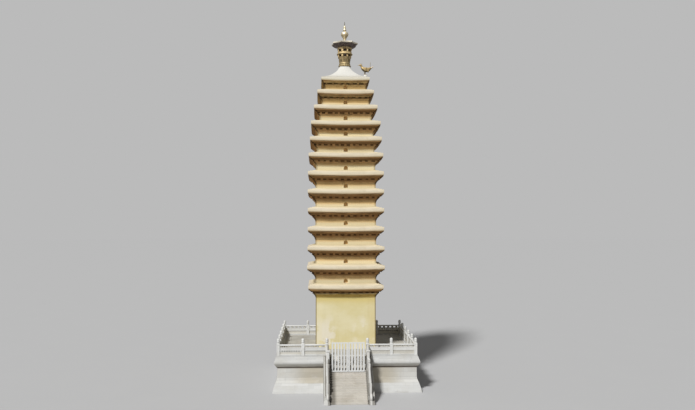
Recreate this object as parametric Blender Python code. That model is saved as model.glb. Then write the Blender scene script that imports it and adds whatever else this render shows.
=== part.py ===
"""A thirteen-eave square brick pagoda on a stone platform, with a gated front stair.

Units are metres, +Z is up, and the origin is on the tower's axis at ground level.
The stair comes down towards -Y, and left and right are as seen from the foot of the stair.
Each named object is one piece of the building, a closed solid.
"""

import math

import bpy
from mathutils import Matrix, Vector

# Joints between neighbouring pieces, and how far shapes fused into one piece reach into each other
GAP = 0.0003
OVERLAP = 0.02

# Platform: square outlines given as (half-width, height), from the ground up
PLINTH_PROFILE = (
    (6.70, 0.0), (6.68, 0.18), (6.60, 0.48), (6.46, 0.85), (6.33, 1.12), (6.28, 1.35),
)
WAIST_HALF = 6.28
WAIST_TOP = 2.22
CORNICE_PROFILE = (
    (6.28, 2.22), (6.36, 2.30), (6.53, 2.56), (6.57, 2.66), (6.57, 2.76), (6.48, 2.98), (6.40, 3.20),
)
FLOOR_HALF = 6.37
FLOOR_LEVEL = 3.30

# Balustrade of the platform
POST_LINE = 6.20
POST_SIDE = 0.28
POST_SHAFT = 1.08
POST_HEIGHT = 1.54
POST_HEAD_SIDES = 8
POST_HEAD_FOOT = (0.12, -0.02)
POST_HEAD_PROFILE = ((0.10, 0.10), (0.14, 0.25), (0.14, 0.70), (0.09, 0.95), (0.06, 1.0))
SILL_HEIGHT = 0.12
SILL_WIDTH = 0.22
SLAB_TOP = 0.73
SLAB_WIDTH = 0.12
RAIL_BOTTOM = 0.87
RAIL_TOP = 1.00
RAIL_WIDTH = 0.20
VASE_WIDTH = 0.12
VASE_THICKNESS = 0.10
VASES_PER_BAY = 3
SIDE_BAYS = 5
STAIR_POST_X = 1.83
MIDDLE_POST_X = 3.99

# Stair
STEP_COUNT = 20
STAIR_FOOT_Y = -10.74
STAIR_TOP_Y = -6.76
STEP_HALF_WIDTH = 1.60
CURB_WIDTH = 0.56
CURB_ABOVE_NOSINGS = 0.10
CURB_FOOT_Y = -10.30
STAIR_RAIL_X = 1.80
STAIR_RAIL_ABOVE_NOSINGS = 0.95
STAIR_RAIL_WIDTH = 0.24
STAIR_RAIL_DEPTH = 0.16
STAIR_SLAB_GAP = 0.14
BLOCK_PITCH = 0.7
BLOCK_REACH = 0.06
NEWEL_Y = -8.50
NEWEL_TOP = 3.43
END_NEWEL_Y = -10.14
END_NEWEL_ABOVE_RAIL = 0.04
DRUM_CENTRE_Y = -10.64
DRUM_CENTRE_Z = 0.56
DRUM_RADIUS = 0.33
DRUM_THICKNESS = 0.22
DRUM_STONE_SIDES = 16
DRUM_BASE_INSET = 0.02
DRUM_BASE_FRONT_Y = -11.00
DRUM_BASE_HEIGHT = 0.30

# Gate on the stair
GATE_Y = -8.08
GATE_POST_X = 1.76
GATE_POST_SIDE = 0.24
GATE_POST_TOP = 4.055
GATE_CAP_SIDE = 0.36
GATE_CAP_HEIGHT = 0.10
HINGE_X = 1.50
HINGE_HEIGHTS = (2.75, 3.72)
PIN_RADIUS = 0.014
PIN_HEIGHT = 0.09
EYE_RADIUS = 0.032
EYE_BORE = 0.015
EYE_HEIGHT = 0.08
EYE_ARM_HEIGHT = 0.04
EYE_ARM_THICKNESS = 0.024
HANGER_THICKNESS = 0.014
HANGER_WIDTH = 0.08
HANGER_PAST_HINGES = 0.15
BRACKET_THICKNESS = 0.02
BRACKET_WELD = 0.005
LEAF_BOTTOM = 2.20
LEAF_TOP = 4.755
LEAF_EDGE_X = 1.45
LEAF_MEETING_GAP = 0.024
LEAF_BARS = 6
BAR_WIDTH = 0.14
BAR_THICKNESS = 0.04
LEAF_RAIL_HEIGHT = 0.10
LEAF_RAIL_THICKNESS = 0.05
END_BAR_INSET = 0.01
BAR_EDGE_INSET = 0.001
BAR_INSET = 0.02

# Tower: one value for each storey, from the lowest up
EAVE_BOTTOMS = (
    8.95, 10.82, 12.61, 14.45, 16.25, 18.01, 19.74, 21.49, 23.05, 24.59, 26.16, 27.69, 29.10,
)
EAVE_HALVES = (3.57, 3.68, 3.65, 3.63, 3.63, 3.63, 3.61, 3.56, 3.44, 3.34, 3.06, 2.74, 2.36)
WALL_HALVES = (2.86, 2.91, 2.91, 2.91, 2.91, 2.90, 2.88, 2.84, 2.76, 2.67, 2.49, 2.30, 2.03)
SHAFT_HALF = 1.20
EAVE_THICKNESS = 0.38
TOP_EAVE_THICKNESS = 0.33
CORBEL_HEIGHT = 0.78
SLOPE_RISE = 0.20
CORBEL_STEPS = ((0.12, 0.28), (0.46, 0.64), (0.97, 1.0))
EAVE_CHAMFER = 0.03
SLOPE_FOOT_OUT = 0.03
CORNER_LIFT = 0.07
EAVE_SEGMENTS = 4
NICHE_WIDTH = 0.38
NICHE_HEIGHT = 0.38
NICHE_DEPTH = 0.30
NICHE_ABOVE_FOOT = 0.02
NICHE_CUTTER_REACH = 0.6
NICHE_ARCH_SEGMENTS = 4

# Roof and finial, as (half-width or radius, height)
ROOF_PROFILE = (
    (2.33, 29.43), (1.98, 29.57), (1.55, 29.78), (1.15, 30.11), (0.86, 30.40), (0.66, 30.68),
    (0.54, 30.88),
)
FINIAL_BASE_PROFILE = (
    (0.0, 30.88), (0.60, 30.88), (0.64, 30.96), (0.58, 31.08), (0.56, 31.15), (0.0, 31.15),
)
DRUM_PROFILE = (
    (0.54, 31.15), (0.52, 31.42), (0.56, 31.62), (0.66, 31.86), (0.70, 32.04), (0.79, 32.13),
    (0.79, 32.22), (0.70, 32.30), (0.72, 32.82),
)
DRUM_WALL = 0.06
DRUM_SIDES = 16
DRUM_OPENINGS = 8
DRUM_OPENING_WIDTH = 0.38
DRUM_OPENING_ROWS = ((31.87, 32.10), (32.37, 32.62))
DRUM_CUTTER_REACH = (0.4, 1.0)
CANOPY_PROFILE = (
    (0.0, 32.82), (0.78, 32.82), (1.10, 32.95), (1.34, 33.15), (1.35, 33.25), (1.20, 33.33),
    (0.40, 33.38), (0.0, 33.38),
)
CANOPY_SIDES = 8
CANOPY_TURN = math.radians(-15)
SPIRE_PROFILE = (
    (0.0, 33.38), (0.20, 33.38), (0.13, 33.55), (0.15, 33.76), (0.27, 33.96), (0.37, 34.17),
    (0.33, 34.36), (0.20, 34.47), (0.11, 34.52), (0.16, 34.60), (0.16, 34.70), (0.10, 34.80),
    (0.08, 35.04), (0.03, 35.12), (0.02, 35.47), (0.0, 35.47),
)
SPIRE_SIDES = 12

# Bird on the front right corner of the roof, facing the finial
BIRD_X = 1.95
BIRD_Y = -1.95
BIRD_BASE_Z = 29.60
PEDESTAL_SIDE = 0.32
PEDESTAL_FOOT = 0.04
PEDESTAL_TOP = 29.70
BIRD_PLATE_SIDE = 0.26
BIRD_PLATE_THICKNESS = 0.03
LEG_PLACE = (-0.04, 0.09)
LEG_RADIUS = 0.035
LEG_TOP = 0.50
TAIL_ROD_X = 0.48
TAIL_ROD_RADIUS = 0.02
TAIL_ROD_SPAN = (0.76, 1.36)

# Rings of the bird's body from beak to tail: (x, z), tilt, half-width and half-height
BIRD_RINGS = (
    ((-0.77, 1.05), -0.1, 0.015, 0.015),
    ((-0.58, 1.06), 0.0, 0.04, 0.04),
    ((-0.50, 1.07), 0.2, 0.08, 0.09),
    ((-0.41, 1.02), 0.8, 0.09, 0.10),
    ((-0.36, 0.88), 0.9, 0.10, 0.11),
    ((-0.27, 0.74), 0.6, 0.15, 0.16),
    ((-0.06, 0.63), 0.1, 0.21, 0.23),
    ((0.18, 0.62), -0.2, 0.20, 0.22),
    ((0.36, 0.67), -0.4, 0.14, 0.17),
    ((0.48, 0.75), -0.4, 0.12, 0.17),
    ((0.62, 0.83), -0.3, 0.12, 0.19),
    ((0.75, 0.87), -0.2, 0.08, 0.11),
    ((0.81, 0.88), 0.0, 0.03, 0.04),
)


def clear_scene():
    for obj in list(bpy.data.objects):
        bpy.data.objects.remove(obj, do_unlink=True)


def make_material(name, colour, roughness, metallic=0.0):
    material = bpy.data.materials.new(name)
    material.use_nodes = True
    shader = material.node_tree.nodes["Principled BSDF"]
    shader.inputs["Base Color"].default_value = (*colour, 1.0)
    shader.inputs["Roughness"].default_value = roughness
    shader.inputs["Metallic"].default_value = metallic
    return material


def mesh_of(shape, name):
    """A mesh from (points, faces)."""
    points, faces = shape
    mesh = bpy.data.meshes.new(name)
    mesh.from_pydata([tuple(point) for point in points], [], faces)
    mesh.update()
    return mesh


def add_piece(name, shape, material, location=(0, 0, 0), turn=0.0, parent=None):
    """One named object, placed by its location and its turn about the vertical."""
    obj = bpy.data.objects.new(name, mesh_of(shape, name))
    obj.data.materials.append(material)
    obj.location = location
    obj.rotation_euler = (0, 0, turn)
    obj.parent = parent
    bpy.context.scene.collection.objects.link(obj)
    return obj


def combine(obj, shapes, operation):
    """Unites the object with these closed shapes, or cuts them from it, in its own coordinates."""
    helpers = bpy.data.collections.new("helpers")
    bpy.context.scene.collection.children.link(helpers)
    for shape in shapes:
        helper = bpy.data.objects.new("helper", mesh_of(shape, "helper"))
        helper.hide_render = True
        helper.display_type = "WIRE"
        helper.parent = obj
        helpers.objects.link(helper)
    modifier = obj.modifiers.new("Combine", "BOOLEAN")
    modifier.operation = operation
    modifier.operand_type = "COLLECTION"
    modifier.collection = helpers
    modifier.solver = "EXACT"
    bpy.context.view_layer.update()
    graph = bpy.context.evaluated_depsgraph_get()
    mesh = bpy.data.meshes.new_from_object(obj.evaluated_get(graph))
    obj.modifiers.clear()
    obj.data = mesh
    for helper in list(helpers.objects):
        bpy.data.objects.remove(helper, do_unlink=True)
    bpy.data.collections.remove(helpers)


def fused_piece(name, shapes, material, **placing):
    """One object made of several overlapping closed shapes."""
    obj = add_piece(name, shapes[0], material, **placing)
    combine(obj, shapes[1:], "UNION")
    return obj


def box(low, high):
    (x0, y0, z0), (x1, y1, z1) = low, high
    points = [(x, y, z) for z in (z0, z1) for x, y in ((x0, y0), (x1, y0), (x1, y1), (x0, y1))]
    faces = [(3, 2, 1, 0), (4, 5, 6, 7), (0, 1, 5, 4), (1, 2, 6, 5), (2, 3, 7, 6), (3, 0, 4, 7)]
    return points, faces


def loft(rings, ring_closed=False):
    """Joins rings of equal length, running anticlockwise seen from above.

    With ring_closed the last ring joins the first, for a tube with a hollow; otherwise both ends are capped.
    """
    count = len(rings[0])
    points = [point for ring in rings for point in ring]
    faces = []
    pairs = len(rings) if ring_closed else len(rings) - 1
    for level in range(pairs):
        lower = level * count
        upper = ((level + 1) % len(rings)) * count
        for i in range(count):
            j = (i + 1) % count
            faces.append((lower + i, lower + j, upper + j, upper + i))
    if not ring_closed:
        faces.append(tuple(reversed(range(count))))
        faces.append(tuple(range((len(rings) - 1) * count, len(rings) * count)))
    return points, faces


def square_ring(half, z, lift=0.0, segments=1):
    """Points round a square; lift raises the corners above the middles of its sides."""
    points = []
    for side in range(4):
        turn = Matrix.Rotation(side * math.pi / 2, 3, "Z")
        for step in range(segments):
            along = -1 + 2 * step / segments
            points.append(turn @ Vector((along * half, -half, z + lift * (along * along - 0.5))))
    return points


def square_mass(profile):
    """A solid with a square plan at each (half-width, height)."""
    return loft([square_ring(half, z) for half, z in profile])


def turned(profile, sides):
    """A solid of revolution; the profile starts and ends on the axis."""
    rings = []
    for radius, z in profile[1:-1]:
        angles = (2 * math.pi * i / sides for i in range(sides))
        rings.append([(radius * math.cos(angle), radius * math.sin(angle), z) for angle in angles])
    return loft(rings)


def prism(outline, low, high, axis):
    """An outline of (y, z) points swept along X, or of (x, z) points swept along Y."""
    if axis == "X":
        ends = [[(at, y, z) for y, z in outline] for at in (low, high)]
    else:
        ends = [[(x, at, z) for x, z in reversed(outline)] for at in (low, high)]
    return loft(ends)


def anticlockwise(outline):
    area = sum(a[0] * b[1] - b[0] * a[1] for a, b in zip(outline, outline[1:] + outline[:1]))
    return outline if area > 0 else outline[::-1]


def shifted(shape, offset):
    points, faces = shape
    return [tuple(Vector(point) + Vector(offset)) for point in points], faces


def nosing_height(y):
    """Height of the line through the front edges of the steps."""
    rise = FLOOR_LEVEL / STEP_COUNT
    going = (STAIR_TOP_Y - STAIR_FOOT_Y) / (STEP_COUNT - 1)
    return rise + (y - STAIR_FOOT_Y) / going * rise


def nosing_y(height):
    """Where the line through the front edges of the steps has this height."""
    rise = FLOOR_LEVEL / STEP_COUNT
    going = (STAIR_TOP_Y - STAIR_FOOT_Y) / (STEP_COUNT - 1)
    return STAIR_FOOT_Y + (height - rise) / rise * going


def post_head(x, y, base, top):
    """The turned head of a balustrade post."""
    rise = top - base
    profile = [(0.0, POST_HEAD_FOOT[1]), POST_HEAD_FOOT]
    profile += [(radius, share * rise) for radius, share in POST_HEAD_PROFILE]
    profile.append((0.0, rise))
    return shifted(turned(profile, POST_HEAD_SIDES), (x, y, base))


def balustrade_post(x):
    half = POST_SIDE / 2
    shaft = box((x - half, -half, GAP), (x + half, half, POST_SHAFT))
    return [shaft, post_head(x, 0, POST_SHAFT, POST_HEIGHT)]


def balustrade_bay(start, end):
    """Sill, slab, vases and rail between two posts that stand at start and end."""
    reach = POST_SIDE / 2 - OVERLAP
    low, high = start + reach, end - reach
    shapes = [
        box((low, -SILL_WIDTH / 2, GAP), (high, SILL_WIDTH / 2, SILL_HEIGHT)),
        box((low, -SLAB_WIDTH / 2, SILL_HEIGHT - OVERLAP), (high, SLAB_WIDTH / 2, SLAB_TOP)),
        box((low, -RAIL_WIDTH / 2, RAIL_BOTTOM), (high, RAIL_WIDTH / 2, RAIL_TOP)),
    ]
    for vase in range(VASES_PER_BAY):
        x = start + (end - start) * (vase + 1) / (VASES_PER_BAY + 1)
        vase_low = (x - VASE_WIDTH / 2, -VASE_THICKNESS / 2, SLAB_TOP - OVERLAP)
        vase_high = (x + VASE_WIDTH / 2, VASE_THICKNESS / 2, RAIL_BOTTOM + OVERLAP)
        shapes.append(box(vase_low, vase_high))
    return shapes


def balustrade(name, posts, free_ends, material, location, turn=0.0):
    """A run of posts and bays along X; free_ends are bay ends that meet another run's post."""
    shapes = []
    for x in posts:
        shapes += balustrade_post(x)
    ends = sorted(list(posts) + list(free_ends))
    for start, end in zip(ends, ends[1:]):
        shapes += balustrade_bay(start, end)
    if free_ends:
        low, high = min(ends) + POST_SIDE / 2 + GAP, max(ends) - POST_SIDE / 2 - GAP
        shapes = [clipped_box(shape, low, high) for shape in shapes]
    return fused_piece(name, shapes, material, location=location, turn=turn)


def clipped_box(shape, low, high):
    """The same shape with its points held between low and high along X."""
    points, faces = shape
    return [(min(max(x, low), high), y, z) for x, y, z in points], faces


def platform(stone, paving):
    add_piece("platform_plinth", square_mass(PLINTH_PROFILE), stone)
    waist = ((WAIST_HALF, PLINTH_PROFILE[-1][1] + GAP), (WAIST_HALF, WAIST_TOP - GAP))
    add_piece("platform_waist", square_mass(waist), stone)
    add_piece("platform_cornice", square_mass(CORNICE_PROFILE), stone)
    floor = ((FLOOR_HALF, CORNICE_PROFILE[-1][1] + GAP), (FLOOR_HALF, FLOOR_LEVEL))
    add_piece("platform_floor", square_mass(floor), paving)


def balustrades(stone):
    side_posts = [-POST_LINE + 2 * POST_LINE * i / SIDE_BAYS for i in range(SIDE_BAYS + 1)]
    corners = (-POST_LINE, POST_LINE)
    balustrade("balustrade_back", side_posts, (), stone, (0, POST_LINE, FLOOR_LEVEL))
    for x, name in ((-POST_LINE, "left"), (POST_LINE, "right")):
        place = (x, 0, FLOOR_LEVEL)
        balustrade(f"balustrade_{name}", side_posts[1:-1], corners, stone, place, math.pi / 2)
    front = (0, -POST_LINE, FLOOR_LEVEL)
    balustrade("balustrade_front_left", (-POST_LINE, -MIDDLE_POST_X, -STAIR_POST_X), (), stone, front)
    balustrade("balustrade_front_right", (STAIR_POST_X, MIDDLE_POST_X, POST_LINE), (), stone, front)


def platform_back_line():
    """The platform's front face as (y, z) points from the top down, a joint's width in front of it."""
    floor = [(FLOOR_HALF, FLOOR_LEVEL), (FLOOR_HALF, CORNICE_PROFILE[-1][1])]
    faces = floor + list(reversed(CORNICE_PROFILE)) + list(reversed(PLINTH_PROFILE))
    return [(-half - GAP, z) for half, z in faces]


def stair(stone):
    rise = FLOOR_LEVEL / STEP_COUNT
    going = (STAIR_TOP_Y - STAIR_FOOT_Y) / (STEP_COUNT - 1)
    steps = [(STAIR_FOOT_Y, 0.0)]
    for step in range(STEP_COUNT):
        y = STAIR_FOOT_Y + step * going
        steps.append((y, (step + 1) * rise))
        if step < STEP_COUNT - 1:
            steps.append((y + going, (step + 1) * rise))
    outline = anticlockwise(steps + platform_back_line())
    add_piece("stair_flight", prism(outline, -STEP_HALF_WIDTH, STEP_HALF_WIDTH, "X"), stone)

    level_y = nosing_y(FLOOR_LEVEL - CURB_ABOVE_NOSINGS)
    curb = [(CURB_FOOT_Y, 0.0), (CURB_FOOT_Y, curb_height(CURB_FOOT_Y)), (level_y, FLOOR_LEVEL)]
    outline = anticlockwise(curb + platform_back_line())
    for side, name in ((-1, "left"), (1, "right")):
        inner = side * (STEP_HALF_WIDTH + GAP)
        outer = side * (STEP_HALF_WIDTH + CURB_WIDTH)
        shape = prism(outline, min(inner, outer), max(inner, outer), "X")
        add_piece(f"stair_curb_{name}", shape, stone)


def curb_height(y):
    """Height of the curb's top, where the stair's balustrade stands."""
    return min(nosing_height(y) + CURB_ABOVE_NOSINGS, FLOOR_LEVEL)


def panel_foot(y):
    return curb_height(y) + GAP


def panel_slab_top(y):
    return rail_bottom(y) - STAIR_SLAB_GAP


def rail_bottom(y):
    return rail_line(y) - STAIR_RAIL_DEPTH


def sloping_band(y_low, y_high, x, width, low_line, high_line):
    """A bar that runs up the stair between two lines of height over y."""
    curb_bend = nosing_y(FLOOR_LEVEL - CURB_ABOVE_NOSINGS)
    rail_bend = nosing_y(FLOOR_LEVEL + RAIL_TOP - STAIR_RAIL_ABOVE_NOSINGS)
    bends = [bend for bend in (curb_bend, rail_bend) if y_low < bend < y_high]
    stations = [y_low] + bends + [y_high]
    outline = [(y, low_line(y)) for y in stations] + [(y, high_line(y)) for y in reversed(stations)]
    return prism(anticlockwise(outline), x - width / 2, x + width / 2, "X")


def rail_line(y):
    """Top of the stair's hand rail, which stays level beside the floor."""
    return min(nosing_height(y) + STAIR_RAIL_ABOVE_NOSINGS, FLOOR_LEVEL + RAIL_TOP)


def stair_panel(y_low, y_high, x):
    """Slab, small blocks and hand rail of one sloping bay."""
    shapes = [
        sloping_band(y_low, y_high, x, SLAB_WIDTH, panel_foot, panel_slab_top),
        sloping_band(y_low, y_high, x, STAIR_RAIL_WIDTH, rail_bottom, rail_line),
    ]
    blocks = max(1, round((y_high - y_low) / BLOCK_PITCH))
    for block in range(blocks):
        y = y_low + (y_high - y_low) * (block + 0.5) / blocks
        low = (x - VASE_THICKNESS / 2, y - VASE_WIDTH / 2, panel_slab_top(y) - BLOCK_REACH)
        high = (x + VASE_THICKNESS / 2, y + VASE_WIDTH / 2, rail_bottom(y) + BLOCK_REACH)
        shapes.append(box(low, high))
    return shapes


def standing_post(x, y, side, top):
    """A square post whose foot follows the sloping curb."""
    half = side / 2
    low, high = y - half, y + half
    outline = [(low, panel_foot(low)), (high, panel_foot(high)), (high, top), (low, top)]
    return prism(anticlockwise(outline), x - half, x + half, "X")


def stair_balustrades(stone):
    post_half = POST_SIDE / 2
    gate_half = GATE_POST_SIDE / 2
    for side, name in ((-1, "left"), (1, "right")):
        x = side * STAIR_RAIL_X
        upper = stair_panel(GATE_Y + gate_half + GAP, -POST_LINE - post_half - GAP, x)
        fused_piece(f"stair_rail_upper_{name}", upper, stone)

        shaft_top = NEWEL_TOP - (POST_HEIGHT - POST_SHAFT)
        end_top = rail_line(END_NEWEL_Y) + END_NEWEL_ABOVE_RAIL
        lower = [
            standing_post(x, NEWEL_Y, POST_SIDE, shaft_top),
            post_head(x, NEWEL_Y, shaft_top, NEWEL_TOP),
            standing_post(x, END_NEWEL_Y, POST_SIDE, end_top),
        ]
        lower += stair_panel(NEWEL_Y + post_half - OVERLAP, GATE_Y - gate_half - GAP, x)
        lower += stair_panel(END_NEWEL_Y + post_half - OVERLAP, NEWEL_Y - post_half + OVERLAP, x)
        fused_piece(f"stair_rail_lower_{name}", lower, stone)
        drum_stone(f"drum_stone_{name}", side, stone)


def drum_stone(name, side, stone):
    """An upright round stone on a low base in front of the curb, at the stair's foot."""
    disc = []
    for i in range(DRUM_STONE_SIDES):
        angle = 2 * math.pi * i / DRUM_STONE_SIDES
        y = DRUM_CENTRE_Y + DRUM_RADIUS * math.cos(angle)
        disc.append((y, DRUM_CENTRE_Z + DRUM_RADIUS * math.sin(angle)))
    x = side * STAIR_RAIL_X
    half = DRUM_THICKNESS / 2
    round_stone = prism(anticlockwise(disc), x - half, x + half, "X")
    curb_x = side * (STEP_HALF_WIDTH + CURB_WIDTH / 2)
    base_half = CURB_WIDTH / 2 - DRUM_BASE_INSET
    base_low = (curb_x - base_half, DRUM_BASE_FRONT_Y, 0)
    base_high = (curb_x + base_half, CURB_FOOT_Y - GAP, DRUM_BASE_HEIGHT)
    fused_piece(name, [box(base_low, base_high), round_stone], stone)


def gate(stone, steel, iron):
    rise_to_eye = BRACKET_THICKNESS + GAP
    for side, name in ((-1, "left"), (1, "right")):
        x = side * GATE_POST_X
        cap_half = GATE_CAP_SIDE / 2
        cap = box(
            (x - cap_half, GATE_Y - cap_half, GATE_POST_TOP - GATE_CAP_HEIGHT),
            (x + cap_half, GATE_Y + cap_half, GATE_POST_TOP),
        )
        shaft = standing_post(x, GATE_Y, GATE_POST_SIDE, GATE_POST_TOP - GATE_CAP_HEIGHT / 2)
        fused_piece(f"gate_post_{name}", [shaft, cap], stone)

        axis = bpy.data.objects.new(f"gate_axis_{name}", None)
        axis.location = (side * HINGE_X, GATE_Y, 0)
        bpy.context.scene.collection.objects.link(axis)
        fused_piece(f"gate_hanger_{name}", hanger_shapes(side), iron, parent=axis)
        leaf = fused_piece(f"gate_leaf_{name}", leaf_shapes(side, rise_to_eye), steel, parent=axis)
        bores = []
        for foot in eye_feet(rise_to_eye):
            bores.append(upright(EYE_BORE, foot - OVERLAP, foot + EYE_HEIGHT + OVERLAP))
        combine(leaf, bores, "DIFFERENCE")


def upright(radius, low, high, sides=12):
    return turned(((0.0, low), (radius, low), (radius, high), (0.0, high)), sides)


def spanning_box(x_a, x_b, y_half, low, high):
    return box((min(x_a, x_b), -y_half, low), (max(x_a, x_b), y_half, high))


def eye_feet(rise_to_eye):
    return [height + rise_to_eye for height in HINGE_HEIGHTS]


def hanger_shapes(side):
    """An upright iron strip on the post with two brackets, each with a pin on the hinge axis."""
    face = side * (GATE_POST_X - GATE_POST_SIDE / 2 - GAP - HINGE_X)
    front = face - side * HANGER_THICKNESS
    low = HINGE_HEIGHTS[0] - HANGER_PAST_HINGES
    high = HINGE_HEIGHTS[1] + HANGER_PAST_HINGES
    shapes = [spanning_box(front, face, HANGER_WIDTH / 2, low, high)]
    for height in HINGE_HEIGHTS:
        bracket_end = -side * EYE_RADIUS
        weld_end = front + side * BRACKET_WELD
        top = height + BRACKET_THICKNESS
        shapes.append(spanning_box(bracket_end, weld_end, EYE_RADIUS, height, top))
        shapes.append(upright(PIN_RADIUS, height + BRACKET_WELD, top + PIN_HEIGHT))
    return shapes


def leaf_shapes(side, rise_to_eye):
    """Rails, bars and hinge eyes of one leaf, about its hinge axis."""
    outer = side * (LEAF_EDGE_X - HINGE_X)
    meeting = side * (LEAF_MEETING_GAP / 2 - HINGE_X)
    rail_half = LEAF_RAIL_THICKNESS / 2
    bar_half = BAR_THICKNESS / 2
    shapes = [
        spanning_box(outer, meeting, rail_half, LEAF_BOTTOM, LEAF_BOTTOM + LEAF_RAIL_HEIGHT),
        spanning_box(outer, meeting, rail_half, LEAF_TOP - LEAF_RAIL_HEIGHT, LEAF_TOP),
    ]
    first = outer - side * (BAR_WIDTH / 2 + BAR_EDGE_INSET)
    last = meeting + side * (BAR_WIDTH / 2 + BAR_EDGE_INSET)
    for bar in range(LEAF_BARS):
        x = first + (last - first) * bar / (LEAF_BARS - 1)
        inset = END_BAR_INSET if bar in (0, LEAF_BARS - 1) else BAR_INSET
        low, high = LEAF_BOTTOM + inset, LEAF_TOP - inset
        shapes.append(spanning_box(x - BAR_WIDTH / 2, x + BAR_WIDTH / 2, bar_half, low, high))
    for foot in eye_feet(rise_to_eye):
        shapes.append(upright(EYE_RADIUS, foot, foot + EYE_HEIGHT))
        arm_end = outer - side * OVERLAP
        arm_low = foot + (EYE_HEIGHT - EYE_ARM_HEIGHT) / 2
        arm_high = arm_low + EYE_ARM_HEIGHT
        shapes.append(spanning_box(0, arm_end, EYE_ARM_THICKNESS / 2, arm_low, arm_high))
    return shapes


def corbel_levels(storey):
    """Outer outline of one storey's corbelling and eave, as (half-width, height, lift)."""
    wall = WALL_HALVES[storey]
    eave = EAVE_HALVES[storey]
    bottom = EAVE_BOTTOMS[storey]
    start = bottom - CORBEL_HEIGHT
    levels = [(wall, start, 0.0)]
    for out, up in CORBEL_STEPS:
        lift = CORNER_LIFT * out * out
        levels.append((wall + (eave - wall) * out, start + (bottom - start) * up, lift))
    levels.append((eave, bottom + EAVE_CHAMFER, CORNER_LIFT))
    return levels


def slope_top(storey):
    """Height where the wall of the next storey starts."""
    return EAVE_BOTTOMS[storey] + EAVE_THICKNESS + SLOPE_RISE


def niche_cutter(wall, foot):
    """Four arched niches, one in the middle of each side."""
    half = NICHE_WIDTH / 2
    spring = foot + NICHE_HEIGHT - half
    outline = [(-half, foot), (half, foot)]
    for step in range(NICHE_ARCH_SEGMENTS + 1):
        angle = math.pi * step / NICHE_ARCH_SEGMENTS
        outline.append((half * math.cos(angle), spring + half * math.sin(angle)))
    points, faces = prism(outline, -wall - NICHE_CUTTER_REACH, -wall + NICHE_DEPTH, "Y")
    shapes = []
    for side in range(4):
        turn = Matrix.Rotation(side * math.pi / 2, 3, "Z")
        shapes.append(([turn @ Vector(point) for point in points], faces))
    return shapes


def hollow_storey(name, levels, material):
    """A square tube round the shaft with this outer outline; heights are taken from its foot."""
    foot = levels[0][1]
    rings = [square_ring(half, z - foot, lift, EAVE_SEGMENTS) for half, z, lift in levels]
    rings.append(square_ring(SHAFT_HALF, levels[-1][1] - foot, 0.0, EAVE_SEGMENTS))
    rings.append(square_ring(SHAFT_HALF, 0.0, 0.0, EAVE_SEGMENTS))
    return add_piece(name, loft(rings, ring_closed=True), material, location=(0, 0, foot))


def tower(plaster, brick):
    last = len(EAVE_BOTTOMS) - 1
    wall = WALL_HALVES[0]
    wall_height = EAVE_BOTTOMS[0] - CORBEL_HEIGHT - FLOOR_LEVEL - 2 * GAP
    rings = [
        square_ring(wall, 0.0),
        square_ring(wall, wall_height),
        square_ring(SHAFT_HALF, wall_height),
        square_ring(SHAFT_HALF, 0.0),
    ]
    tube = loft(rings, ring_closed=True)
    add_piece("storey_01_wall", tube, plaster, location=(0, 0, FLOOR_LEVEL + GAP))

    for storey in range(last + 1):
        levels = corbel_levels(storey)
        eave, bottom = EAVE_HALVES[storey], EAVE_BOTTOMS[storey]
        if storey > 0:
            foot = slope_top(storey - 1) + GAP
            levels.insert(0, (WALL_HALVES[storey], foot, 0.0))
        if storey < last:
            levels.append((eave, bottom + EAVE_THICKNESS, CORNER_LIFT))
            levels.append((WALL_HALVES[storey + 1] + SLOPE_FOOT_OUT, slope_top(storey), 0.0))
        else:
            levels.append((eave, bottom + TOP_EAVE_THICKNESS, 0.0))
        name = "storey_01_eave" if storey == 0 else f"storey_{storey + 1:02d}"
        piece = hollow_storey(name, levels, brick)
        if storey > 0:
            cutters = niche_cutter(WALL_HALVES[storey], NICHE_ABOVE_FOOT)
            combine(piece, cutters, "DIFFERENCE")


def roof(plaster):
    foot = ROOF_PROFILE[0][1]
    rings = [square_ring(half, z - foot, 0.0, EAVE_SEGMENTS) for half, z in ROOF_PROFILE]
    half = PEDESTAL_SIDE / 2
    pedestal = box(
        (BIRD_X - half, BIRD_Y - half, PEDESTAL_FOOT),
        (BIRD_X + half, BIRD_Y + half, PEDESTAL_TOP - foot - GAP),
    )
    fused_piece("roof_cap", [loft(rings), pedestal], plaster, location=(0, 0, foot + GAP))


def from_foot(profile):
    """The same profile with its heights taken from its lowest point."""
    foot = profile[0][1]
    return foot, tuple((radius, z - foot) for radius, z in profile)


def circle(radius, z):
    angles = (2 * math.pi * i / DRUM_SIDES for i in range(DRUM_SIDES))
    return [(radius * math.cos(angle), radius * math.sin(angle), z) for angle in angles]


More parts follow.
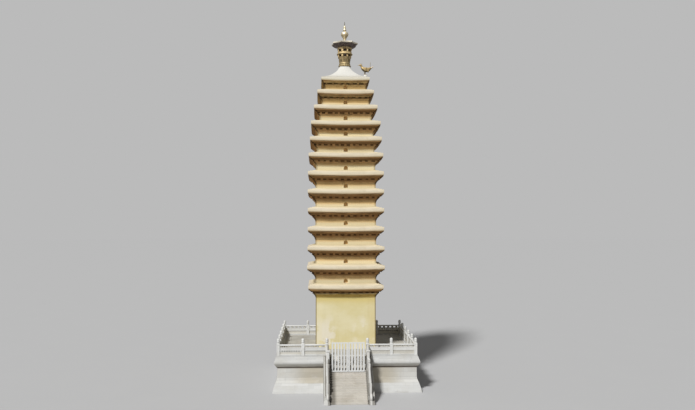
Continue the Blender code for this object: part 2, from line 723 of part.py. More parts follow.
def finial(bronze, dark_metal):
    foot, profile = from_foot(FINIAL_BASE_PROFILE)
    add_piece("finial_base", turned(profile, DRUM_SIDES), bronze, location=(0, 0, foot + 2 * GAP))

    foot, profile = from_foot(DRUM_PROFILE)
    outer = [circle(radius, z) for radius, z in profile]
    inner = [circle(radius - DRUM_WALL, z) for radius, z in reversed(profile)]
    tube = loft(outer + inner, ring_closed=True)
    drum = add_piece("finial_drum", tube, bronze, location=(0, 0, foot + 3 * GAP))
    half = DRUM_OPENING_WIDTH / 2
    inside, outside = DRUM_CUTTER_REACH
    cutters = []
    for low, high in DRUM_OPENING_ROWS:
        points, faces = box((inside, -half, low - foot), (outside, half, high - foot))
        for opening in range(DRUM_OPENINGS):
            turn = Matrix.Rotation(2 * math.pi * opening / DRUM_OPENINGS, 3, "Z")
            cutters.append(([turn @ Vector(point) for point in points], faces))
    combine(drum, cutters, "DIFFERENCE")

    foot, profile = from_foot(CANOPY_PROFILE)
    canopy = add_piece("finial_canopy", turned(profile, CANOPY_SIDES), dark_metal)
    canopy.location = (0, 0, foot + 4 * GAP)
    canopy.rotation_euler = (0, 0, CANOPY_TURN)

    foot, profile = from_foot(SPIRE_PROFILE)
    add_piece("finial_spire", turned(profile, SPIRE_SIDES), bronze, location=(0, 0, foot + 5 * GAP))


def oval_ring(centre, tilt, wide, tall, sides=8):
    """A ring of points about the bird's length, tilted about Y."""
    turn = Matrix.Rotation(tilt, 3, "Y")
    points = []
    for i in range(sides):
        angle = 2 * math.pi * i / sides
        points.append(Vector(centre) + turn @ Vector((0, wide * math.cos(angle), tall * math.sin(angle))))
    return points


def bird(gilt):
    """Body, neck and tail, legs, foot plate and the rod at the tail, in the bird's own coordinates."""
    rings = [oval_ring((x, 0, z), tilt, wide, tall) for (x, z), tilt, wide, tall in BIRD_RINGS]
    foot = PEDESTAL_TOP + GAP - BIRD_BASE_Z
    half = BIRD_PLATE_SIDE / 2
    shapes = [loft(rings), box((-half, -half, foot), (half, half, foot + BIRD_PLATE_THICKNESS))]
    leg_x, leg_y = LEG_PLACE
    for y in (-leg_y, leg_y):
        leg = upright(LEG_RADIUS, foot + BIRD_PLATE_THICKNESS / 2, LEG_TOP, 6)
        shapes.append(shifted(leg, (leg_x, y, 0)))
    rod = upright(TAIL_ROD_RADIUS, *TAIL_ROD_SPAN, 6)
    shapes.append(shifted(rod, (TAIL_ROD_X, 0, 0)))
    obj = fused_piece("corner_bird", shapes, gilt)
    obj.location = (BIRD_X, BIRD_Y, BIRD_BASE_Z)


def main():
    clear_scene()
    stone = make_material("white_stone", (0.66, 0.65, 0.61), 0.7)
    paving = make_material("paving", (0.42, 0.38, 0.33), 0.8)
    plaster = make_material("yellow_plaster", (0.70, 0.61, 0.33), 0.85)
    brick = make_material("cream_washed_brick", (0.72, 0.60, 0.38), 0.85)
    lime = make_material("lime_wash", (0.78, 0.76, 0.70), 0.8)
    bronze = make_material("bronze", (0.33, 0.22, 0.11), 0.45, 1.0)
    dark_metal = make_material("dark_bronze", (0.06, 0.05, 0.05), 0.5, 1.0)
    gilt = make_material("gilt_copper", (0.45, 0.33, 0.15), 0.4, 1.0)
    steel = make_material("white_painted_steel", (0.80, 0.80, 0.80), 0.4)
    iron = make_material("hinge_iron", (0.35, 0.35, 0.35), 0.5, 1.0)
    platform(stone, paving)
    balustrades(stone)
    stair(stone)
    stair_balustrades(stone)
    gate(stone, steel, iron)
    tower(plaster, brick)
    roof(lime)
    finial(bronze, dark_metal)
    bird(gilt)


main()
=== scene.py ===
"""Looks of a thirteen-eave square brick pagoda: coursed and plastered masonry, carved balustrades, a barred
gate and a metal finial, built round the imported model.

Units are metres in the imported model's frame: +Z is up and the origin is on the tower's axis at ground level.
The stair comes down towards -Y, and left and right are as seen from its foot.
"""

import itertools
import math
import random

import bmesh
import bpy
from mathutils import Matrix, Vector, noise


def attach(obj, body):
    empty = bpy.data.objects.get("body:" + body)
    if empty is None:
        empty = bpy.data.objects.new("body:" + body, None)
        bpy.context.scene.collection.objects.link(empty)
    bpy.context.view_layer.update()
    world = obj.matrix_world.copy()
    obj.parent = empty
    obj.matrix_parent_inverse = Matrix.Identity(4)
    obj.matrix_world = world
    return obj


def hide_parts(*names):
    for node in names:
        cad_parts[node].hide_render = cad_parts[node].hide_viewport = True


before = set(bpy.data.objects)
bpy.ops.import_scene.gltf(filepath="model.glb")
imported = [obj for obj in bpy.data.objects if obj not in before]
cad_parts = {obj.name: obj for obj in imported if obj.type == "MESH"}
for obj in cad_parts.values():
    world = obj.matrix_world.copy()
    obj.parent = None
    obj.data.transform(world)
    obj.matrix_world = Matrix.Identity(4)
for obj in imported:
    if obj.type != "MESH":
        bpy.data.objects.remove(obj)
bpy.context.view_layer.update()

# Platform: square outlines as (half-width, height), from the ground up, and the heights between courses
PLINTH_PROFILE = ((6.70, 0.0), (6.68, 0.18), (6.60, 0.48), (6.46, 0.85), (6.33, 1.12), (6.28, 1.35))
PLINTH_COURSES = (0.0, 0.16, 0.40, 0.64, 0.88, 1.12, 1.35)
WAIST_PROFILE = ((6.28, 1.35), (6.28, 2.22))
WAIST_COURSES = (1.35, 1.785, 2.22)
CORNICE_PROFILE = (
    (6.28, 2.22), (6.36, 2.30), (6.53, 2.56), (6.57, 2.66), (6.57, 2.76), (6.48, 2.98), (6.40, 3.20),
)
CORNICE_COURSES = (2.22, 2.30, 2.43, 2.56, 2.66, 2.76, 2.87, 2.98, 3.09, 3.20)
FLOOR_HALF = 6.37
FLOOR_LEVEL = 3.30
FLOOR_SLAB = 0.10
FLOOR_BASE_HALF = 6.30
BORDER_WIDTH = 0.42
BORDER_STONES = 10
PAVER = 0.60

# Balustrade of the platform
POST_LINE = 6.20
POST_SIDE = 0.28
POST_SHAFT = 1.08
POST_HEIGHT = 1.54
SILL_HEIGHT = 0.12
SILL_WIDTH = 0.22
SLAB_TOP = 0.73
SLAB_WIDTH = 0.12
GROOVE = (0.365, 0.425)
WIDE_GROOVE = (0.335, 0.445)
RAIL_BOTTOM = 0.87
RAIL_TOP = 1.00
RAIL_WIDTH = 0.20
SIDE_BAYS = 5
STAIR_POST_X = 1.83
MIDDLE_POST_X = 3.99

# Stair
STEP_COUNT = 20
STAIR_FOOT_Y = -10.74
STAIR_TOP_Y = -6.76
STEP_HALF_WIDTH = 1.60
STEP_JOINTS = ((-0.55, 0.60), (-0.25, 0.35))
CURB_WIDTH = 0.56
CURB_ABOVE_NOSINGS = 0.10
CURB_FOOT_Y = -10.30
CURB_END_Y = -6.30
CURB_ROW = 0.275
CURB_STONE = 0.85
CURB_SHIFT = 0.42
CURB_LAST_JOINT_Y = -6.60
CURB_JOINT = 0.004
COPING = 0.11
COPING_ENDS = (CURB_FOOT_Y, -9.55, -8.80, -8.05, -7.30, -6.375)
STAIR_RAIL_X = 1.80
STAIR_RAIL_ABOVE_NOSINGS = 0.95
STAIR_RAIL_WIDTH = 0.24
STAIR_RAIL_DEPTH = 0.16
STAIR_SLAB_GAP = 0.14
STAIR_VASE_PITCH = 0.45
STAIR_VASE_GIRTH = 0.83
NEWEL_Y = -8.50
NEWEL_TOP = 3.43
END_NEWEL_Y = -10.14
DRUM_CENTRE_Y = -10.64
DRUM_CENTRE_Z = 0.56
DRUM_BASE_FRONT_Y = -11.00
DRUM_BASE_STEP = 0.20
DRUM_BASE_HEIGHT = 0.30
CRADLE_ENDS = (-10.90, -10.38)
CRADLE_HALF = 0.125
CRADLE_TOP = 0.38

# Gate
GATE_Y = -8.08
GATE_POST_X = 1.76
GATE_POST_SIDE = 0.24
GATE_POST_TOP = 4.055
GATE_CAP_SIDE = 0.36
GATE_CAP_HEIGHT = 0.10
HINGE_X = 1.50
EYE_FEET = (2.7703, 3.7403)
EYE_RADIUS = 0.032
EYE_BORE = 0.015
EYE_HEIGHT = 0.08
LEAF_BOTTOM = 2.20
LEAF_TOP = 4.755
LEAF_EDGE_X = 1.45
LEAF_MEETING_X = 0.012
LEAF_BARS = 6
BAR_WIDTH = 0.14
LEAF_RAIL_HEIGHT = 0.10
LATCH_Z = 3.05
LATCH_WIDTH = 0.12
LATCH_HALF_HEIGHT = 0.08

# Tower: one value for each storey, from the lowest up
EAVE_BOTTOMS = (
    8.95, 10.82, 12.61, 14.45, 16.25, 18.01, 19.74, 21.49, 23.05, 24.59, 26.16, 27.69, 29.10,
)
EAVE_HALVES = (3.57, 3.68, 3.65, 3.63, 3.63, 3.63, 3.61, 3.56, 3.44, 3.34, 3.06, 2.74, 2.36)
WALL_HALVES = (2.86, 2.91, 2.91, 2.91, 2.91, 2.90, 2.88, 2.84, 2.76, 2.67, 2.49, 2.30, 2.03)
LAST_STOREY = len(EAVE_BOTTOMS) - 1
COURSE = 0.076
EAVE_THICKNESS = 0.38
TOP_EAVE_THICKNESS = 0.33
EAVE_COURSE_INSETS = (0.022, 0.010, 0.004, 0.0, 0.008)
CORBEL_HEIGHT = 0.78
CORBEL_STEPS = ((0.0, 0.0), (0.12, 0.28), (0.46, 0.64), (0.97, 1.0))
SLOPE_RISE = 0.20
CORNER_LIFT = 0.07
TOOTH_ROWS = (0.50, 0.70)
TOOTH_PITCH = 0.58
TOOTH_WIDTH = 0.27
TOOTH_DEPTH = 0.20
# Tint of the recess behind the teeth: painted shade.
RECESS_SHADE_TINT = -1.0
NICHE_WIDTH = 0.38
NICHE_HEIGHT = 0.38
NICHE_DEPTH = 0.30
NICHE_ARCH_STEPS = 12
WALL_ROWS = 24

# Roof, as (half-width, height), and the bird's pedestal
ROOF_PROFILE = (
    (2.33, 29.44), (1.98, 29.57), (1.55, 29.78), (1.15, 30.11), (0.86, 30.40), (0.66, 30.68),
    (0.54, 30.88),
)
BIRD_PLACE = (1.95, -1.95, 29.60)
PEDESTAL_SIDE = 0.32
PEDESTAL_FOOT = 29.46
PEDESTAL_TOP = 29.70

# Studio; angles in degrees
BACKGROUND_GREY = (187, 187, 187)
FLOOR_GREY = (184, 184, 184)
FLOOR_REACH = 900.0
FLOOR_DROP = 0.002
KEY_HEIGHT = 43.7
KEY_FROM_LEFT = 29
KEY_STRENGTH = 3.8
KEY_SOFTNESS = 8
SKY_SHARE = 0.4
CAMERA_PLACE = (-2.69, -69.60, 14.70)
CAMERA_UP = 1.943
CAMERA_TO_RIGHT = 2.450
CAMERA_LENS = 36.2
SENSOR_WIDTH = 36.0
SIGHT = 3000.0

dice = random.Random(13)


# Shapes as (points, faces)


def shift(x, y, z):
    return Matrix.Translation((x, y, z))


def rotation(angle, axis="Z"):
    return Matrix.Rotation(angle, 4, axis)


def quarter_turns(count):
    return rotation(count * math.pi / 2)


def moved(shape, matrix):
    points, faces = shape
    return [matrix @ Vector(point) for point in points], faces


def sink(points, ring, inward, panel):
    """Faces of a panel sunk into the face with this ring; panel is (margin across, margin up, depth)."""
    margin_across, margin_up, depth = panel
    corners = [Vector(points[i]) for i in ring]
    across = corners[1] - corners[0]
    up = corners[3] - corners[0]
    a, b = margin_across / across.length, margin_up / up.length
    places = ((a, b), (1 - a, b), (1 - a, 1 - b), (a, 1 - b))
    inner = [corners[0] + across * u + up * v for u, v in places]
    middle = sum(inner, Vector()) / 4
    deep = [point + inward * depth + (middle - point).normalized() * depth * 0.6 for point in inner]
    first = len(points)
    points += [tuple(point) for point in inner + deep]
    faces = []
    for i in range(4):
        j = (i + 1) % 4
        faces.append((ring[i], ring[j], first + j, first + i))
        faces.append((first + i, first + j, first + 4 + j, first + 4 + i))
    faces.append(tuple(range(first + 4, first + 8)))
    return faces


def stone(low, high, chamfer, panels=None):
    """A block with chamfered edges, and a sunk panel on each (axis, side) that panels names."""
    points, index = [], {}
    for corner in itertools.product((0, 1), repeat=3):
        for axis in range(3):
            point = []
            for k in range(3):
                inset = -chamfer if corner[k] else chamfer
                point.append((high if corner[k] else low)[k] + (0 if k == axis else inset))
            index[corner, axis] = len(points)
            points.append(tuple(point))
    faces = []
    for axis in range(3):
        u, v = [k for k in range(3) if k != axis]
        for side in (0, 1):
            ring = []
            for cu, cv in ((0, 0), (1, 0), (1, 1), (0, 1)):
                corner = [side, side, side]
                corner[u], corner[v] = cu, cv
                ring.append(index[tuple(corner), axis])
            if panels and (axis, side) in panels:
                inward = Vector((0, 0, 0))
                inward[axis] = -1 if side else 1
                faces += sink(points, ring, inward, panels[axis, side])
            else:
                faces.append(tuple(ring))
        for cu, cv in itertools.product((0, 1), repeat=2):
            ends = []
            for end in (0, 1):
                corner = [end, end, end]
                corner[u], corner[v] = cu, cv
                ends.append(tuple(corner))
            start, end = ends
            faces.append((index[start, u], index[end, u], index[end, v], index[start, v]))
    for corner in itertools.product((0, 1), repeat=3):
        faces.append((index[corner, 0], index[corner, 1], index[corner, 2]))
    return points, faces


def loft(rings, ring_closed=False):
    """Joins rings of equal length and caps both ends, or joins the last ring to the first if ring_closed."""
    count = len(rings[0])
    points = [point for ring in rings for point in ring]
    faces = []
    for level in range(len(rings) if ring_closed else len(rings) - 1):
        lower = level * count
        upper = ((level + 1) % len(rings)) * count
        for i in range(count):
            j = (i + 1) % count
            faces.append((lower + i, lower + j, upper + j, upper + i))
    if not ring_closed:
        faces.append(tuple(reversed(range(count))))
        faces.append(tuple(range((len(rings) - 1) * count, len(rings) * count)))
    return points, faces


def circle(radius, z, sides, flutes=0, depth=0.0):
    """A ring of points round the Z axis; flutes pinch it by the share depth of its radius."""
    ring = []
    for i in range(sides):
        angle = 2 * math.pi * i / sides
        pinched = radius * (1 - depth * (0.5 - 0.5 * math.cos(flutes * angle)))
        ring.append((pinched * math.cos(angle), pinched * math.sin(angle), z))
    return ring


def turned(profile, sides, flutes=0, depth=0.0):
    """A solid of revolution through (radius, z) pairs."""
    return loft([circle(radius, z, sides, flutes, depth) for radius, z in profile])


def prism(outline, low, high, axis):
    """An outline of (y, z) points swept along X, or of (x, z) points swept along Y."""
    if axis == "X":
        return loft([[(at, y, z) for y, z in outline] for at in (low, high)])
    return loft([[(x, at, z) for x, z in outline] for at in (low, high)])


def smooth_profile(profile, steps=2):
    """Points on a smooth curve through the profile."""
    ends = [profile[0], *profile, profile[-1]]
    curve = []
    for p0, p1, p2, p3 in zip(ends, ends[1:], ends[2:], ends[3:]):
        for step in range(steps):
            t = step / steps
            point = []
            for a, b, c, d in zip(p0, p1, p2, p3):
                value = 2 * b + (c - a) * t + (2 * a - 5 * b + 4 * c - d) * t * t
                value += (3 * b - a - 3 * c + d) * t * t * t
                point.append(value / 2)
            curve.append(tuple(point))
    curve.append(tuple(profile[-1]))
    return curve


def outline_half(profile, z):
    """Half-width of a (half-width, height) profile at this height."""
    for (half_a, z_a), (half_b, z_b) in zip(profile, profile[1:]):
        if z_a <= z <= z_b:
            return half_a + (half_b - half_a) * (z - z_a) / (z_b - z_a)
    return profile[-1][0]


def square_ring(half, z, columns, lift=0.0, uneven=None):
    """Points round a square. columns are (place from -1 to 1, inset) along each side."""
    points = []
    for side in range(4):
        turn = Matrix.Rotation(side * math.pi / 2, 3, "Z")
        for along, inset in columns:
            rise = lift * (along * along - 0.5)
            if uneven:
                wave = noise.noise(Vector((along * 3.1 + 7 * side, z * 1.3, uneven)))
                inset = inset + 0.006 * (1 + wave)
                rise += 0.5 * lift * wave
            points.append(turn @ Vector((along * half, inset - half, z + rise)))
    return points


def even_columns(count, corner):
    return [(-corner + 2 * corner * i / count, 0.0) for i in range(count + 1)]


def joint_columns(count, half, start, groove):
    """Columns of a course of that many stones with V joints between them, for square_ring."""
    columns = [(-1.0, 0.0)]
    width = groove / half
    for joint in range(1, count + 1):
        at = -1 + 2 * (joint - start) / count
        if at < 1 - 2 * width:
            columns += [(at - width, 0.0), (at, groove), (at + width, 0.0)]
    return columns


def outward_mesh(name, points, faces):
    """A mesh with every face looking outwards."""
    mesh = bpy.data.meshes.new(name)
    mesh.from_pydata(points, [], faces)
    shells = bmesh.new()
    shells.from_mesh(mesh)
    bmesh.ops.recalc_face_normals(shells, faces=shells.faces)
    shells.to_mesh(mesh)
    shells.free()
    return mesh


class Piece:
    """Shells collected into one mesh, each face with a finish and a tint."""

    def __init__(self):
        self.points, self.faces, self.finishes, self.tints = [], [], [], []

    def add(self, shape, finish=0, tint=0.5, place=None):
        """finish and tint are one value, or one for each face."""
        points, faces = shape if place is None else moved(shape, place)
        start = len(self.points)
        self.points.extend(tuple(point) for point in points)
        self.faces.extend(tuple(start + i for i in face) for face in faces)
        self.finishes.extend(finish if isinstance(finish, list) else [finish] * len(faces))
        self.tints.extend(tint if isinstance(tint, list) else [tint] * len(faces))

    def build(self, name, materials, nodes, body="root", origin=(0, 0, 0), round_under=None):
        """Makes the object, which stands for these nodes. Edges sharper than round_under stay hard."""
        offset = Vector(origin)
        mesh = outward_mesh(name, [Vector(point) - offset for point in self.points], self.faces)
        mesh.polygons.foreach_set("material_index", self.finishes)
        tints = mesh.attributes.new("tint", "FLOAT", "FACE")
        tints.data.foreach_set("value", self.tints)
        for material in materials:
            mesh.materials.append(material)
        obj = bpy.data.objects.new(name, mesh)
        obj.location = offset
        bpy.context.scene.collection.objects.link(obj)
        if round_under:
            mesh.shade_smooth()
            mesh.set_sharp_from_angle(angle=math.radians(round_under))
        mesh.update()
        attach(obj, body)
        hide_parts(*nodes)


# Materials; a tone is a display colour, three numbers up to 255


def srgb(tone):
    """A tone as the linear colour that a shader takes."""
    shares = [value / 255 for value in tone]
    return (*(s / 12.92 if s <= 0.04045 else ((s + 0.055) / 1.055) ** 2.4 for s in shares), 1.0)


def scaled(tone, share):
    return [min(255, share * value) for value in tone]


class Finish:
    """One node material round a Principled shader, whose colour is built up layer by layer."""

    def __init__(self, name, tone, roughness, metallic=0.0, specular=0.1):
        self.material = bpy.data.materials.new(name)
        self.material.use_nodes = True
        self.tree = self.material.node_tree
        self.shader = self.tree.nodes["Principled BSDF"]
        self.shader.inputs["Roughness"].default_value = roughness
        self.shader.inputs["Metallic"].default_value = metallic
        self.shader.inputs["Specular IOR Level"].default_value = specular
        self.place = self.node("ShaderNodeTexCoord").outputs["Object"]
        self.colour = srgb(tone)

    def node(self, kind, inputs=None, **settings):
        made = self.tree.nodes.new(kind)
        for name, value in settings.items():
            setattr(made, name, value)
        for key, value in (inputs or {}).items():
            if isinstance(value, bpy.types.NodeSocket):
                self.tree.links.new(value, made.inputs[key])
            else:
                made.inputs[key].default_value = value
        return made

    def clouds(self, across, up, detail, seed):
        """Soft noise from 0 to 1 with features of about 1/across by 1/up metres."""
        inputs = {"Vector": self.place, "Scale": (across, across, up)}
        stretched = self.node("ShaderNodeMapping", inputs).outputs["Vector"]
        inputs = {"Vector": stretched, "Scale": 1.0, "Detail": detail, "Roughness": 0.6, "W": seed}
        return self.node("ShaderNodeTexNoise", inputs, noise_dimensions="4D").outputs["Fac"]

    def between(self, value, low, high):
        """0 where value is under low and 1 where it is over high, smoothly; low may be the greater."""
        inputs = {"Value": value, 1: low, 2: high, 3: 0.0, 4: 1.0}
        return self.node("ShaderNodeMapRange", inputs, interpolation_type="SMOOTHSTEP").outputs[0]

    def patches(self, across, up, detail, seed, low, high):
        return self.between(self.clouds(across, up, detail, seed), low, high)

    def math(self, operation, a, b=0.0, c=0.0):
        return self.node("ShaderNodeMath", {0: a, 1: b, 2: c}, operation=operation).outputs[0]

    def both(self, a, b):
        return self.math("MULTIPLY", a, b)

    def either(self, a, b):
        return self.math("MAXIMUM", a, b)

    def mix(self, share, a, b, blend="MIX"):
        node = self.node("ShaderNodeMix", {0: share, 6: a, 7: b}, data_type="RGBA", blend_type=blend)
        return node.outputs[2]

    def cover(self, mask, tone, share=1.0):
        """Lays a tone over the colour where mask is 1, by this share."""
        if share < 1:
            mask = self.both(mask, share)
        self.colour = self.mix(mask, self.colour, srgb(tone))

    def split(self, vector):
        return self.node("ShaderNodeSeparateXYZ", {0: vector}).outputs

    def axis(self, name):
        return self.split(self.place)[name]

    def facing(self, name):
        return self.split(self.node("ShaderNodeNewGeometry").outputs["True Normal"])[name]

    def off_centre(self):
        """Distance to the left or right of the object's middle."""
        return self.math("ABSOLUTE", self.axis("X"))

    def ragged_height(self, across, up, detail, seed, reach):
        """The height, moved up and down in patches by up to half of reach."""
        drift = self.math("MULTIPLY_ADD", self.clouds(across, up, detail, seed), reach, -reach / 2)
        return self.math("ADD", self.axis("Z"), drift)

    def off_axis(self):
        """The smaller and the greater distance from the tower's axis, along X and Y."""
        place = self.split(self.place)
        across = [self.math("ABSOLUTE", place[name]) for name in ("X", "Y")]
        return self.math("MINIMUM", *across), self.math("MAXIMUM", *across)

    def from_corner(self):
        """Distance along the square tower's wall from its nearer corner."""
        smaller, greater = self.off_axis()
        return self.math("SUBTRACT", greater, smaller)

    def corner_lift(self):
        """How far a storey's eave rises here: up towards the corners, down towards the middle of a side."""
        along = self.math("DIVIDE", *self.off_axis())
        return self.math("MULTIPLY_ADD", self.both(along, along), CORNER_LIFT, -0.5 * CORNER_LIFT)

    def bricks(self, height, mortar):
        """1 in the joints between bricks and 0 on their faces, on walls that face along X or Y."""
        facing = [self.math("ABSOLUTE", self.facing(name)) for name in ("X", "Y")]
        place = self.split(self.place)
        inputs = {0: self.math("GREATER_THAN", *facing), 2: place["X"], 3: place["Y"]}
        along = self.node("ShaderNodeMix", inputs).outputs[0]
        wall_place = self.node("ShaderNodeCombineXYZ", {0: along, 1: place["Z"]}).outputs[0]
        inputs = {
            "Vector": wall_place, "Scale": 1.0, "Mortar Size": mortar, "Mortar Smooth": 0.4,
            "Brick Width": BRICK_LENGTH, "Row Height": height,
        }
        return self.node("ShaderNodeTexBrick", inputs).outputs["Fac"]

    def bump(self, height, distance, strength=0.6):
        inputs = {"Height": height, "Distance": distance, "Strength": strength}
        return self.node("ShaderNodeBump", inputs).outputs["Normal"]

    def grain(self, fineness, detail, seed, distance, strength=0.6):
        return self.bump(self.clouds(fineness, fineness, detail, seed), distance, strength)

    def finish(self, depth=0.0, normal=None, roughness=None):
        """The material. depth is how much a face's tint darkens or lightens it."""
        if depth:
            tint = self.node("ShaderNodeAttribute", attribute_name="tint").outputs["Fac"]
            level = self.math("MULTIPLY_ADD", tint, 2 * depth, 1 - depth)
            grey = self.node("ShaderNodeCombineXYZ", {0: level, 1: level, 2: level}).outputs[0]
            self.colour = self.mix(1.0, self.colour, grey, "MULTIPLY")
        for value, key in ((self.colour, "Base Color"), (normal, "Normal"), (roughness, "Roughness")):
            if value:
                self.tree.links.new(value, self.shader.inputs[key])
        return self.material


WAIST_TONE = (196, 195, 190)
BRICK_LENGTH = 0.38


def white_stone(name, pale, stain, stain_share, streaks=0.35, marks=None):
    """Weathered pale marble with clouded stains, rain streaks and a fine grain; marks adds more to it."""
    f = Finish(name, pale, 0.75, specular=0.2)
    f.cover(f.patches(0.9, 1.3, 5, 1, 0.42, 0.72), stain, stain_share)
    if marks:
        marks(f)
    darker = scaled(pale, 0.72)
    f.cover(f.patches(5, 0.5, 4, 3, 0.55, 0.8), darker, streaks)
    grains = f.patches(30, 30, 3, 5, 0.35, 0.75)
    f.cover(grains, darker, 0.14)
    rough = f.math("MULTIPLY_ADD", grains, 0.2, 0.62)
    return f.finish(0.06, f.grain(22, 6, 7, 0.006), rough)


def stair_side_stain(f):
    """Beige stain of the platform's walls towards the stair."""
    near = f.between(f.off_centre(), 5.4, 3.4)
    f.cover(f.both(near, f.patches(0.5, 0.8, 4, 12, 0.2, 0.5)), (178, 171, 156))


def plinth_top(f):
    """The upper part of the plinth is as grey as the wall above it."""
    lower, f.colour = f.colour, srgb(WAIST_TONE)
    stair_side_stain(f)
    height = f.ragged_height(0.8, 0.8, 3, 21, 0.10)
    f.colour = f.mix(f.between(height, 0.80, 0.92), lower, f.colour)


def waist_marks(f):
    """The stain towards the stair, and a dark line of painted shade where the cornice shades the wall's top.
    """
    stair_side_stain(f)
    # Painted shade: a dark line under the cornice.
    f.cover(f.between(f.axis("Z"), 2.13, 2.18), (110, 102, 92), 0.5)


def cornice_underside_shade(f):
    """Painted shade on the underside of the platform's cornice."""
    height = f.ragged_height(1.6, 1.6, 4, 14, 0.10)
    # Painted shade under the lip, and a darker painted shadow line at its foot.
    f.cover(f.between(height, 2.66, 2.52), (176, 173, 165))
    f.cover(f.between(height, 2.40, 2.28), (96, 86, 74))


def rail_foot_shade(f):
    """Painted shade on the stair's copings along the foot of the balustrades and at the outer edge."""
    across = f.off_centre()
    off_line = f.math("ABSOLUTE", f.math("SUBTRACT", across, STAIR_RAIL_X))
    # Painted shade along the foot of the balustrades, and at the copings' outer edge.
    near = f.both(f.between(off_line, 0.27, 0.21), f.between(f.facing("Z"), 0.2, 0.5))
    f.cover(near, (108, 104, 96), 0.85)
    edge = STEP_HALF_WIDTH + CURB_WIDTH
    f.cover(f.between(across, edge - 0.05, edge - 0.02), (112, 108, 98), 0.7)


def rail_side_shade(f):
    """Painted shade on the inner side of the stair's balustrades and on the outer edge of the right one."""
    across = f.axis("X")
    left = f.both(f.between(across, -1.85, -1.75), f.between(across, 1.0, 0.0))
    right = f.both(f.between(across, 1.75, 1.70), f.between(across, 0.0, 1.0))
    outer = f.both(f.between(across, 1.88, 1.91), 0.7)
    # Painted shade on the balustrades' sides.
    f.cover(f.either(f.both(f.either(left, right), 0.75), outer), (112, 107, 98))


def step_end_shade_and_light(f):
    """Painted shadow at the ends of the steps, most of it on the left; painted light on the steps behind the
    gate, where the gate's shadow falls.
    """
    across = f.axis("X")
    # Painted light: the steps behind the gate are lighter, against the gate's shadow.
    f.cover(f.between(f.axis("Y"), -8.25, -7.75), (210, 206, 198))
    # Painted shadow at the ends of the steps, deepest on the left where the balustrade's shadow falls.
    left = f.both(f.between(across, -1.00, -1.32), 0.72)
    right = f.both(f.between(across, 1.50, 1.56), 0.7)
    f.cover(f.either(left, right), (94, 89, 80))


def yellow_plaster():
    """Yellow lime wash, deeper under the eave, with pale worn patches low on the wall."""
    f = Finish("yellow_plaster", (216, 207, 172), 0.9)
    height, across = f.axis("Z"), f.off_centre()
    f.cover(f.patches(0.35, 0.6, 5, 2, 0.3, 0.7), (206, 194, 146))
    worn = f.both(f.patches(0.75, 0.75, 4, 43, 0.48, 0.58), f.between(height, 7.0, 5.0))
    f.cover(f.both(worn, f.between(across, 0.2, 1.5)), (222, 215, 198), 0.85)
    f.cover(f.between(across, 2.15, 2.35), (222, 212, 174), 0.35)
    f.cover(f.between(height, 7.3, 8.15), (204, 186, 122))
    f.cover(f.patches(4, 0.25, 4, 6, 0.5, 0.85), (184, 168, 112), 0.22)
    f.cover(f.between(f.axis("X"), 1.8, 2.5), (196, 178, 122), 0.4)
    # Painted shade: the wall darker near its corners, standing for the side walls in shade.
    f.cover(f.between(f.from_corner(), 0.12, 0.05), (140, 124, 84))
    lumps = f.math("MULTIPLY_ADD", f.bricks(0.076, 0.006), -0.25, f.clouds(14, 14, 6, 4))
    return f.finish(0.05, f.bump(lumps, 0.008, 0.5))


# Tones under the eaves, as (height where they start, height where they are full, tone); an eave is at 0
# The darker tones towards the eave are partly the bricks' own brown and partly painted shade, where the eave's
# shadow falls.
WASHED = (-1.00, -0.74, (212, 182, 130))
EAVE_SHADE = (-0.16, -0.04, (128, 99, 62))
YELLOW_BANDS = (
    (-0.80, -0.70, (220, 188, 106)), (-0.52, -0.44, (230, 206, 150)), (-0.40, -0.35, (162, 126, 80)),
)
LOWER_BANDS = (WASHED, (-0.63, -0.40, (174, 134, 86)), EAVE_SHADE)
UPPER_BANDS = (WASHED, (-0.70, -0.48, (200, 160, 108)), (-0.36, -0.30, (146, 112, 70)))
TOP_BANDS = (WASHED, (-0.80, -0.68, (180, 150, 98)), EAVE_SHADE)


def corbel_brick(name, bands, reach=1.0, tooth_row_shade=0.0, foot=(224, 212, 177), foot_marks=(214, 198, 156)):
    """Brick under an eave, washed at the foot and darker upwards in bands, partly painted shade;
    tooth_row_shade darkens the row of teeth as painted shade.
    """
    f = Finish(name, foot, 0.9)
    if foot_marks:
        f.cover(f.clouds(0.7, 3, 5, 3), foot_marks)
    height = f.math("DIVIDE", f.ragged_height(1.2, 2, 4, 8, 0.20), reach)
    for low, high, tone in bands:
        f.cover(f.between(height, low, high), tone)
    # Painted shade along the row of teeth.
    line = f.both(f.between(height, -0.43, -0.39), f.between(height, -0.27, -0.31))
    f.cover(line, (88, 64, 36), tooth_row_shade)
    under = f.between(height, -0.9, -0.5)
    f.cover(f.both(f.patches(2.6, 3.2, 5, 9, 0.42, 0.78), under), (120, 84, 48), 0.5)
    # Painted shade at the corners, deeper towards the eave.
    corner = f.between(f.from_corner(), 0.20, 0.06)
    f.cover(f.both(corner, f.math("MULTIPLY_ADD", under, 0.55, 0.4)), (72, 54, 36))
    joints = f.bricks(0.078, 0.008)
    f.cover(joints, (96, 70, 44), 0.25)
    lumps = f.math("MULTIPLY_ADD", joints, -0.6, f.clouds(18, 18, 5, 4))
    return f.finish(0.14, f.bump(lumps, 0.010, 0.7))


